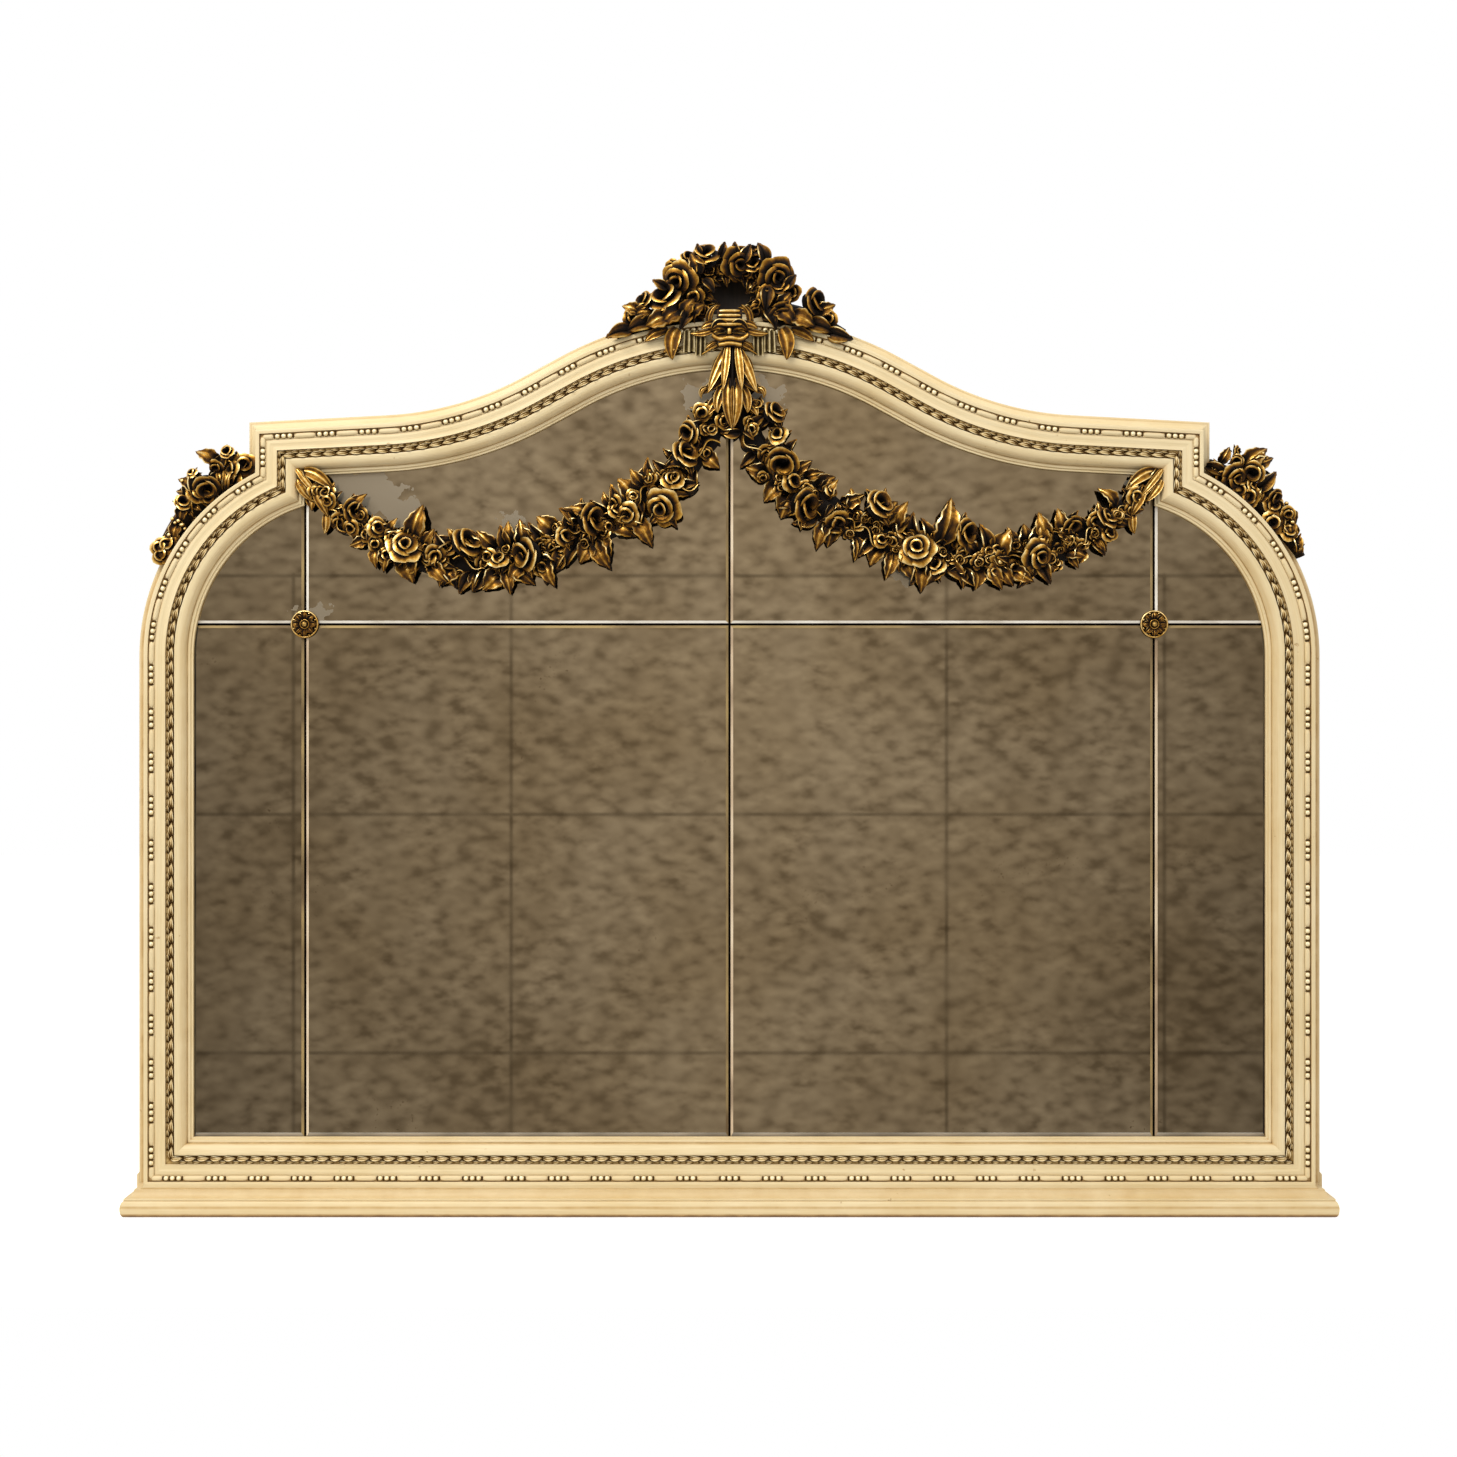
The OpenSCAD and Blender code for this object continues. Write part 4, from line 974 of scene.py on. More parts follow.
class Carving:
    def __init__(self, kit: CarvingKit, ground: BMesh | None = None) -> None:
        """Starts the piece.

        Args:
            kit: Forms to copy.
            ground: Shape that the carving stands on; it is taken over.
        """
        self.kit = kit
        self.bm = ground or bmesh.new()
        if "rim" not in self.bm.verts.layers.float:
            self.bm.verts.layers.float.new("rim")

    def put(self, form: Form, x: float, h: float, d: float, size: float, turn: float = 0.0,
            pitch: float = 0.0, roll: float = 0.0, spin: float = 0.0,
            stretch: Sequence[float] = (1, 1, 1), finish: int = 0) -> None:
        """Copies one form onto the piece.

        Args:
            form: The form.
            x: Place across the face.
            h: Height.
            d: Depth of the form's back.
            size: Radius or length in millimetres.
            turn: Direction on the face in degrees.
            pitch: Lift of that direction off the face in degrees.
            roll: Turn about that direction in degrees.
            spin: Turn of the form about its own middle in degrees.
            stretch: Extra scale of the form's own axes.
            finish: Number of the finish among the piece's own.
        """
        matrix = (Matrix.Translation((x, h, d)) @ Matrix.Rotation(radians(turn), 4, "Z")
                  @ Matrix.Rotation(radians(-pitch), 4, "Y") @ Matrix.Rotation(radians(roll), 4, "X")
                  @ Matrix.Rotation(radians(spin), 4, "Z")
                  @ Matrix.Diagonal((*(size * s for s in stretch), 1)))
        mesh = self.kit.forms[form].copy()
        mesh.polygons.foreach_set("material_index", [finish] * len(mesh.polygons))
        merge(self.bm, mesh, matrix)

    def join(self, part: BMesh, matrix: Matrix = Matrix()) -> None:
        """Adds a shape of its own to the piece."""
        absorb(self.bm, part, matrix)

    def seat(self, back: float, front: float = 76.0) -> None:
        """Cuts the carving's back flat and keeps its front and top within the mirror's size."""
        for vert in self.bm.verts:
            vert.co.z = min(front, max(back, vert.co.z))
            vert.co.y = min(MIRROR_TOP, vert.co.y)


# ---------------------------------------------------------------- frame

@dataclass
class Moulding:
    """The painted members, which share one moulded section."""

    lip: float = 36.0
    step: float = 38.5
    ovolo: float = 50.0
    front: float = 54.0
    edge: float = 14.0
    rabbet: float = 12.0
    glass: float = 30.0

    def section(self, run: Run) -> list[Point]:
        """Points of one member's section, with painted shade and soiling marked in its corners and under its
        rounds.

        Args:
            run: The member: the sill has no outer cove, and the upper members' coves get less painted shade.

        Returns:
            The section's points in order.
        """
        points = [Point(0, self.glass, 0.5), Point(0, self.lip - 0.4), Point(0.4, self.lip),
                  Point(2.7, self.lip), Point(3.3, self.lip + 1, 0.4), Point(3.6, self.step - 0.3),
                  Point(4.0, self.step), Point(7.0, self.step, 0.1), Point(8, self.step + 0.2, 1.0)]
        for i in range(1, 11):
            a = i * pi / 20
            # Painted shade on the lower half of the ovolo, heavier on the sill, with some soiling.
            dirt = max(0.0, 0.95 - 0.22 * i) if run is Run.SILL else 0.35 * swell(9.0 - i, 0.5, 4.0)
            points.append(Point(24 - 16 * cos(a), self.step + 11.5 * sin(a), dirt))
        points += [Point(24.3, self.ovolo - 0.1), Point(24.5, self.ovolo - 0.5, 0.4), Point(24.5, 44, 1.0),
                   Point(37.5, 44, 1.0), Point(37.5, self.ovolo - 0.5, 0.4), Point(37.9, self.ovolo - 0.1),
                   Point(40.8, 49.1), Point(43.75, 48.8, 0.15), Point(47, 49.1), Point(49.4, 49.9),
                   Point(50.4, 49.7), Point(53.6, 49.3, 0.3), Point(54, 46, 0.8), Point(63, 46, 0.8),
                   Point(63, 53, 0.2), Point(63.4, 53.5), Point(65.5, self.front - 0.2),
                   Point(68, self.front), Point(68.7, self.front - 0.3)]
        if run is Run.SILL:
            points += [Point(73.5, self.front - 0.4, 0.3), Point(88, self.front - 0.4)]
        else:
            # Painted shade in the outer cove, darker on the stiles and shoulders than on the upper members.
            dirt = 0.75 if run in (Run.STILE, Run.SHOULDER) else 0.1
            for i in range(11):
                a = i * pi / 20
                points.append(Point(84 - 15 * cos(a), 53 - 39 * sin(a), dirt * sin(a)))
            points += [Point(84.6, self.edge, 0.5), Point(87.6, self.edge), Point(88, self.edge - 0.4, 0.1)]
        kink = LINES.sill_z - LINES.plinth_h
        points += [Point(88, 0, 0.6), Point(kink, 0, 0.4), Point(50.3, 0, 0.4), Point(50.3, 0, 0.4, True),
                   Point(self.rabbet, 0, 0.4, True), Point(self.rabbet, self.glass, 0.6)]
        return points

    def build(self) -> None:
        """Sweeps every member."""
        for run, name in ((Run.SILL, "bottom_rail"), (Run.CROWN, "crown_rail")):
            publish(name, sweep(self.section(run), RUNS.stations(run)), "cream_paint", PAINT)
        pairs = {Run.STILE: "stile", Run.SHOULDER: "shoulder", Run.EAR: "ear", Run.OGEE: "ogee_rail"}
        for run, word in pairs.items():
            for side in Side:
                bm = sweep(self.section(run), RUNS.stations(run, side is Side.LEFT))
                if run is Run.STILE:
                    self._split_foot(bm)
                publish(f"{word}_{side.word}", bm, "cream_paint", PAINT)

    @staticmethod
    def _split_foot(bm: BMesh) -> None:
        """Splits the foot's end face where the mitre meets the plinth's top, so that each half is flat."""
        x, h = LINES.sill_end(LINES.sill_z)
        bend = [v for v in bm.verts if abs(abs(v.co.x) - x) < 0.2 and abs(v.co.y - h) < 0.2]
        bmesh.ops.connect_verts(bm, verts=bend)


@dataclass
class Plinth:
    """The base moulding, mitred round the core's front and ends, and the strips on the stiles' feet."""

    core_half_w: float = 885.5
    core_d: float = 55.0
    height: float = 38.0

    def section(self) -> list[Point]:
        """Points of the section: out from the core and up from the base."""
        points = [Point(0, 0), Point(12.2, 0), Point(12.5, 0.3, 0.4)]
        for a in range(-75, 76, 15):
            # Painted shade under the torus and at its upper edge, with some soiling.
            dirt = 0.85 if a < -40 else 0.75 if a == 15 else 0.15
            points.append(Point(12.5 + 5 * cos(radians(a)), 12 + 12 * sin(radians(a)), dirt))
        points += [Point(12.7, 24, 0.8), Point(13, 24.4), Point(13, 26.7), Point(12.6, 27.2, 0.3)]
        for a in range(15, 91, 15):
            points.append(Point(1 + 11.5 * (1 - sin(radians(a))), 38 - 11 * cos(radians(a)), 0.4))
        cover = self.height + 0.12
        return [*points, Point(0.6, cover, 0.2), Point(-9, cover, 0.2), Point(-9, cover - 0.2),
                Point(0, cover - 0.2)]

    def build(self) -> None:
        """Builds the front, the two ends and the foot strips."""
        def corner(sign: int, back: bool = False) -> Callable[[Point], Vector]:
            def place(p: Point) -> Vector:
                return Vector((sign * (self.core_half_w + p.t), p.d, 0 if back else self.core_d + p.t))
            return place
        steps = 8
        front = [Station(lambda p, s=i / steps: Vector(((self.core_half_w + p.t) * (2 * s - 1), p.d,
                                                        self.core_d + p.t)), 1770 * i / steps)
                 for i in range(steps + 1)]
        publish("plinth_front", sweep(self.section(), front), "cream_paint", PAINT)
        for side in Side:
            ends = [Station(corner(side.value)), Station(corner(side.value, True), 70)]
            publish(f"plinth_end_{side.word}", sweep(self.section(), ends), "cream_paint", PAINT)
            self.foot(side)

    def foot(self, side: Side) -> None:
        """Builds one small strip on the outer edge of a stile's foot."""
        outline = [Point(*row) for row in (
            (886.5, 37), (890, 31), (894, 28.3), (895.6, 29.5), (896, 32), (896, 49.5), (895, 51.5),
            (892.5, 54), (892.5, 38.2), (886.5, 38.2))]
        ends = [Station(lambda p, d=d: Vector((side.value * p.t, p.d, d)), d) for d in (0, 13.4, 14)]
        publish(f"foot_strip_{side.word}", sweep(outline, ends), "cream_paint", PAINT)


class Strip(Enum):
    """The four lengths of each carved course, with the members that each follows."""

    BOTTOM = (Run.SILL,)
    SIDE = (Run.STILE, Run.SHOULDER, Run.EAR)
    TOP = (Run.OGEE, Run.CROWN)


STRIPS = (("bottom", Strip.BOTTOM, False), ("left", Strip.SIDE, True), ("right", Strip.SIDE, False),
          ("top", Strip.TOP, False))


@dataclass
class Course:
    """A carved course in a channel of the moulding: what all the courses share."""

    kit: CarvingKit

    def base(self, section: Sequence[Point], strip: Strip, mirrored: bool) -> BMesh:
        """Sweeps the course's thin base along its members."""
        ground = bmesh.new()
        for name in FLOATS:
            ground.verts.layers.float.new(name)
        halves = (False, True) if strip is Strip.TOP else (mirrored,)
        for run in strip.value:
            for half in halves if run is not Run.CROWN else (False,):
                absorb(ground, sweep(section, RUNS.stations(run, half)))
        return ground

    def tracks(self, t: float, strip: Strip, mirrored: bool) -> list[Track]:
        """Lines without a corner in them, along which the ornament repeats."""
        if strip is Strip.BOTTOM:
            return [RUNS.track(t, Run.SILL)]
        if strip is Strip.SIDE:
            return [RUNS.track(t, Run.STILE, Run.SHOULDER, mirrored=mirrored),
                    RUNS.track(t, Run.EAR, mirrored=mirrored)]
        right = [tuple(p) for p in RUNS.track(t, Run.OGEE).points]
        crown = [tuple(p) for p in RUNS.track(t, Run.CROWN).points]
        left = [(-x, h) for x, h in reversed(right)]
        return [Track([*right, *crown[1:-1], *left])]


@dataclass
class BeadCourse(Course):
    """Three round beads and one long one, over and over, with painted shade only between the round ones."""

    middle: float = 58.5
    bed: float = 46.0
    base_t: float = 3.4
    bead_r: float = 4.3
    pitch: float = 9.4
    barrel: float = 33.0
    gap: float = 1.2

    def build(self) -> None:
        """Builds the four lengths."""
        top = self.bed + self.base_t
        # The base's sides are marked for painted shade beside the beads.
        section = [Point(54, self.bed), Point(54, top - 0.3, 0.7), Point(54.4, top, 0.2),
                   Point(62.6, top, 0.2), Point(63, top - 0.3, 0.7), Point(63, self.bed)]
        for word, strip, mirrored in STRIPS:
            work = Carving(self.kit, self.base(section, strip, mirrored))
            for track in self.tracks(self.middle, strip, mirrored):
                self.string(work, track)
            publish(f"bead_strip_{word}", work.bm, "gilding", PAINT, BEAD_GILT)

    def string(self, work: Carving, track: Track) -> None:
        """Sets beads along one line, evenly from end to end."""
        repeat = 3 * self.pitch + self.barrel + 2 * self.gap
        count = max(1, round(track.length / repeat))
        scale = track.length / (count * repeat)
        top = self.bed + self.base_t
        for i in range(count):
            start = i * repeat + self.barrel / 2 + self.gap
            for k in range(4):
                (x, h), turn = track.at((start + k * self.pitch) * scale)
                # Dark shade forms between the round beads are painted shade.
                work.put(Form.SHADE, x, h, top - 0.3, 4.4, degrees(turn), stretch=(0.36, 0.95, 0.5), finish=1)
            for k in range(3):
                (x, h), turn = track.at((start + (k + 0.5) * self.pitch) * scale)
                work.put(Form.BEAD, x, h, top - 0.4, self.bead_r, degrees(turn), stretch=(1.05, 1, 0.95),
                         finish=1)
        for i in range(count + 1):
            half = 0.5 if i in (0, count) else 1.0
            middle = i * repeat + (self.barrel / 4 if i == 0 else -self.barrel / 4 if i == count else 0)
            (x, h), turn = track.at(middle * scale)
            work.put(Form.BARREL, x, h, top - 0.4, self.bead_r, degrees(turn),
                     stretch=(half * scale * self.barrel / 2 / self.bead_r, 1.02, 0.85))


@dataclass
class LeafCourse(Course):
    """Small pointed leaves in a narrow channel, set side by side on a tan bed."""

    middle: float = 31.0
    bed: float = 44.0
    base_t: float = 2.6
    pitch: float = 20.0
    centre_h: float = 620.0

    def build(self) -> None:
        """Builds the four lengths."""
        top = self.bed + self.base_t
        section = [Point(24.5, self.bed), Point(24.5, top - 1.4), Point(31, top - 1.2), Point(32, top),
                   Point(37.5, top + 0.4), Point(37.5, self.bed)]
        for word, strip, mirrored in STRIPS:
            ground = self.base(section, strip, mirrored)
            rim = ground.verts.layers.float["rim"]
            across = ground.verts.layers.float["across"]
            for vert in ground.verts:
                out = vert[across] - vert.co.z
                # Painted light across the bed: lighter at its outer edge, and painted shade in its middle.
                vert[rim] = 0.3 if out > 36 else -0.65 if out > 28 else -0.05
            work = Carving(self.kit, ground)
            for track in self.tracks(self.middle, strip, mirrored):
                count = max(1, round(track.length / self.pitch))
                for i in range(count):
                    self.unit(work, track, (i + 0.5) * track.length / count)
            publish(f"leaf_strip_{word}", work.bm, "gilding", LEAF_GILT)

    def unit(self, work: Carving, track: Track, s: float) -> None:
        """Sets a wide leaf towards the glass and a smaller one across from it, half a step on."""
        (x, h), turn = track.at(s)
        top = self.bed + self.base_t
        along, out = Vector((cos(turn), sin(turn))), Vector((-sin(turn), cos(turn)))
        inward = -out if out.dot(Vector((x, h - self.centre_h))) > 0 else out
        start = Vector((x, h)) - along * 8.8 + inward * 2.0
        work.put(Form.COURSE_LEAF, start.x, start.y, top - 1.2, 18.6, degrees(turn), stretch=(1, 0.95, 1.1))
        start = Vector((x, h)) + along * 3.6 - inward * 3.6
        work.put(Form.COURSE_LEAF, start.x, start.y, top - 1.0, 14.0, degrees(turn), stretch=(1, 0.7, 1))


# ---------------------------------------------------------------- glass

PANE_FINISHES = (SILVER, SILL_BEVEL, LEVEL_BEVEL, PALE_BEVEL, STILE_BEVEL, BACKING_PAINT_AND_GAP_SHADE, WARM_BEVEL)


class Corner(Enum):
    """The four shapes of pane on the right half."""

    LOWER_OUTER = "lower_right"
    LOWER_MID = "lower_mid_right"
    UPPER_OUTER = "upper_right"
    UPPER_MID = "upper_mid_right"


@dataclass
class Glazing:
    """Eight bevelled panes in two rows."""

    front: float = 30.0
    back: float = 26.0
    bevel_drop: float = 1.3
    bevel: float = 5.5
    stile_bevel: float = 2.6
    hidden: float = 0.8
    half_gap: float = 1.75
    closed_gap: float = 0.02

    def outline(self, corner: Corner, g: float, j: float) -> list[Place]:
        """Outline of a pane.

        Args:
            corner: Shape of the pane.
            g: Growth beyond the sight edge.
            j: Distance from the middle of a joint.

        Returns:
            x and height of points that match from one outline to the next.
        """
        L = LINES
        x0, z0 = L.ear_x, L.joint_z
        cx, cz = L.shoulder_c
        g = max(g, self.hidden) if corner in (Corner.UPPER_OUTER, Corner.UPPER_MID) else g
        side = max(g, -self.stile_bevel)
        r = L.shoulder_r + side
        if corner is Corner.LOWER_MID:
            return [(j, L.sill_z - g), (x0 - j, L.sill_z - g), (x0 - j, z0 - j), (j, z0 - j)]
        if corner is Corner.LOWER_OUTER:
            end = asin((z0 - j - cz) / r)
            bend = [polar((cx, cz), r, end * i / 8) for i in range(9)]
            return [(x0 + j, L.sill_z - g), (L.sight_half_w + side, L.sill_z - g), *bend, (x0 + j, z0 - j)]
        if corner is Corner.UPPER_OUTER:
            start, end = asin((z0 + j - cz) / r), acos((x0 + j - cx) / r)
            turns = [start + (end - start) * i / 24 for i in range(25)]
            return [(x0 + j, z0 + j), *(polar((cx, cz), r, a) for a in turns)]
        step = L.foot_curve(0) + 16 + g
        top_z = L.ear_top[1] + L.ear_slope * g
        cove = [L.cove_at(g, i / 18) for i in range(19)]
        radius = L.crown_r + g
        start, end = pi / 2 - L.rise_angle, acos(j / radius)
        crown = [polar(L.crown_c, radius, start + (end - start) * i / 18) for i in range(19)]
        return [(j, z0 + j), (x0 - j, z0 + j), (x0 - j, step), (x0 + g, step), (x0 + g, top_z), *cove, *crown]

    def finish_of(self, face: BMFace, lower: bool) -> Finish:
        """Finish of a face: silver in front, a bevel at each edge in the tone of painted reflection for the
        way it faces, and dark paint behind it, which on the joint walls is painted shade.

        Args:
            face: Face of the drawn pane.
            lower: Whether the pane is in the lower row.

        Returns:
            One of the panes' finishes.
        """
        normal, place = face.normal, face.calc_center_median()
        # The backs and the walls in the joints get the blackened backing; in the joints it is painted shade.
        if place.z < self.front - self.bevel_drop - 0.2:
            return BACKING_PAINT_AND_GAP_SHADE
        if normal.z > 0.995:
            return SILVER
        if abs(normal.y) > abs(normal.x):
            return LEVEL_BEVEL if normal.y > 0 else SILL_BEVEL if lower else PALE_BEVEL
        if abs(place.x) > LINES.ear_x + 40:
            return STILE_BEVEL
        if normal.x > 0:
            return LEVEL_BEVEL
        return WARM_BEVEL if lower or abs(place.x) < 20 else PALE_BEVEL

    def build(self) -> None:
        """Builds all eight panes."""
        low = self.front - self.bevel_drop
        levels = ((-self.bevel, self.bevel, self.front), (1.5, self.half_gap, low),
                  (1.6, self.half_gap - 0.03, low - 0.5), (1.7, self.closed_gap, low - 0.55),
                  (10.0, self.closed_gap - 0.01, low - 0.6), (10.0, self.closed_gap - 0.02, self.back))
        for corner in Corner:
            rings = [self.outline(corner, g, j) for g, j, _ in levels]
            for side in Side:
                section = [Point(i, 0) for i in range(len(rings[0]))]
                stations = [Station(lambda p, ring=ring, d=level[2]: Vector(
                    (side.value * ring[int(p.t)][0], ring[int(p.t)][1], d)))
                    for ring, level in zip(rings, levels)]
                bm = sweep(section, stations)
                lower = corner.value.startswith("lower")
                for face in bm.faces:
                    face.material_index = PANE_FINISHES.index(self.finish_of(face, lower))
                name = "pane_" + corner.value.replace("right", side.word)
                publish(name, bm, "silvered_glass", *PANE_FINISHES, sharp=None)


@dataclass
class Rosettes:
    """A small pierced rosette over each crossing of the joints, held by a screw with a round head."""

    kit: CarvingKit
    radius: float = 21.0
    back: float = 30.3
    petals: int = 8

    def build(self) -> None:
        """Builds both rosettes and their screws."""
        screws = bmesh.new()
        for side in Side:
            x, h = side.value * LINES.ear_x, LINES.joint_z
            disc = bmesh.new()
            bmesh.ops.create_cone(disc, cap_ends=True, segments=40, radius1=self.radius - 1.5,
                                  radius2=self.radius - 2.5, depth=1.6,
                                  matrix=Matrix.Translation((x, h, self.back + 0.8)))
            # The disc is painted dark as shade behind the petals.
            work = Carving(self.kit, tint(disc, -0.6))
            work.join(self.ring(self.radius - 1.6, 1.6), Matrix.Translation((x, h, self.back + 2)))
            work.join(self.ring(6.6, 1.1), Matrix.Translation((x, h, self.back + 3)))
            for i in range(self.petals):
                turn = i * 360 / self.petals
                a = radians(turn)
                work.put(Form.SHELL_LEAF, *polar((x, h), 6.5, a), self.back + 1.4, 13.2, turn,
                         stretch=(1, 1.02, 1.5))
                work.put(Form.BERRY, *polar((x, h), 17, a + 0.39), self.back + 2.4, 1.7)
            publish(f"rosette_{side.word}", work.bm, "brass", GILT)
            bmesh.ops.create_cone(screws, cap_ends=True, segments=20, radius1=1.6, radius2=1.6, depth=17,
                                  matrix=Matrix.Translation((x, h, 27.5)))
            bmesh.ops.create_uvsphere(screws, u_segments=20, v_segments=14, radius=4.3,
                                      matrix=Matrix.Translation((x, h, self.back + 5)))
        publish("rosette_screws", screws, "brass", BRASS)

    @staticmethod
    def ring(radius: float, wire: float) -> BMesh:
        """A round ring about the origin, painted bright as a highlight."""
        bm = bmesh.new()
        bmesh.ops.create_circle(bm, segments=10, radius=wire,
                                matrix=Matrix.Translation((radius, 0, 0)) @ Matrix.Rotation(pi / 2, 4, "X"))
        bmesh.ops.spin(bm, geom=bm.verts[:] + bm.edges[:], cent=(0, 0, 0), axis=(0, 0, 1), angle=2 * pi,
                       steps=40, use_merge=True)
        bmesh.ops.recalc_face_normals(bm, faces=bm.faces[:])
        return tint(bm, 0.8)


# ---------------------------------------------------------------- garlands, crest and sprays

@dataclass(frozen=True)
class Bloom:
    """One chosen flower of a carving: its place, radius, form, lean and tilt."""

    x: float
    h: float
    r: float
    form: Form = Form.ROSE
    lean: float = 0.0
    tilt: float = 0.0


@dataclass(frozen=True)
class Sprig:
    """One chosen leaf of a carving: its middle, its direction and its length."""

    x: float
    h: float
    turn: float
    length: float = 36.0
    form: Form = Form.TOOTHED_LEAF

    def end(self, sign: int) -> Place:
        """Its tip for 1, or its root for -1."""
        return polar((self.x, self.h), sign * self.length / 2, radians(self.turn))


@dataclass(frozen=True)
class Husk:
    """One long smooth leaf of the pendant or the crest: where it springs, bends and ends, and its width."""

    root: tuple[float, float, float]
    bend: tuple[float, float, float]
    tip: tuple[float, float, float]
    half: float = 6.0
    curl: float = 0.25

    def shape(self) -> BMesh:
        """Makes the leaf, folded up along its middle, with painted highlights along its middle and edges."""
        a, b, c = Vector(self.root), Vector(self.bend), Vector(self.tip)

        def point(u: float, v: float) -> Shaped:
            spine = a * (1 - v) ** 2 + b * 2 * v * (1 - v) + c * v ** 2
            flow = ((b - a) * (1 - v) + (c - b) * v).normalized()
            side = Vector((-flow.y, flow.x, 0)).normalized()
            half = self.half * max(0.0, sin(pi * (0.12 + 0.88 * v) ** 0.9)) ** 0.7 if v < 1 else 0.0
            rise = half * (self.curl * u * u + 0.22 * exp(-(u / 0.2) ** 2))
            place = spine + side * (half * u) + Vector((0, 0, rise))
            return place, max(exp(-(u / 0.22) ** 2), swell(abs(u), 0.7, 0.98))
        return patch(point, 8, 14, 1.6)


ROSE, CUP, SMALL, DAISY, BUD = Form.ROSE, Form.CUP_ROSE, Form.SMALL_ROSE, Form.DAISY, Form.BUD
SMOOTH, TOOTHED, FLUTED, RIBBON = Form.LEAF, Form.TOOTHED_LEAF, Form.FLUTED_LEAF, Form.CURLED_RIBBON
CORNER_BLADES = (
    Husk((647, 1112, 43), (634, 1096, 51), (611, 1067, 46), 5.5),
    Husk((644, 1104, 42), (628, 1084, 50), (602, 1058, 44), 5.0),
    Husk((636, 1109, 43), (612, 1106, 51), (592, 1080, 44), 9.5, 0.4),
    Husk((646, 1096, 42), (641, 1080, 48), (622, 1063, 42), 6.5),
    Husk((620, 1078, 44), (608, 1062, 52), (600, 1040, 42), 7.5, 0.5),
    Husk((604, 1046, 40), (600, 1030, 46), (607, 1016, 38), 7.0, 0.4))


def blooms(*rows: Sequence) -> tuple[Bloom, ...]:
    """Flowers from rows of their fields."""
    return tuple(Bloom(*row) for row in rows)


def sprigs(*rows: Sequence) -> tuple[Sprig, ...]:
    """Leaves from rows of their fields."""
    return tuple(Sprig(*row) for row in rows)


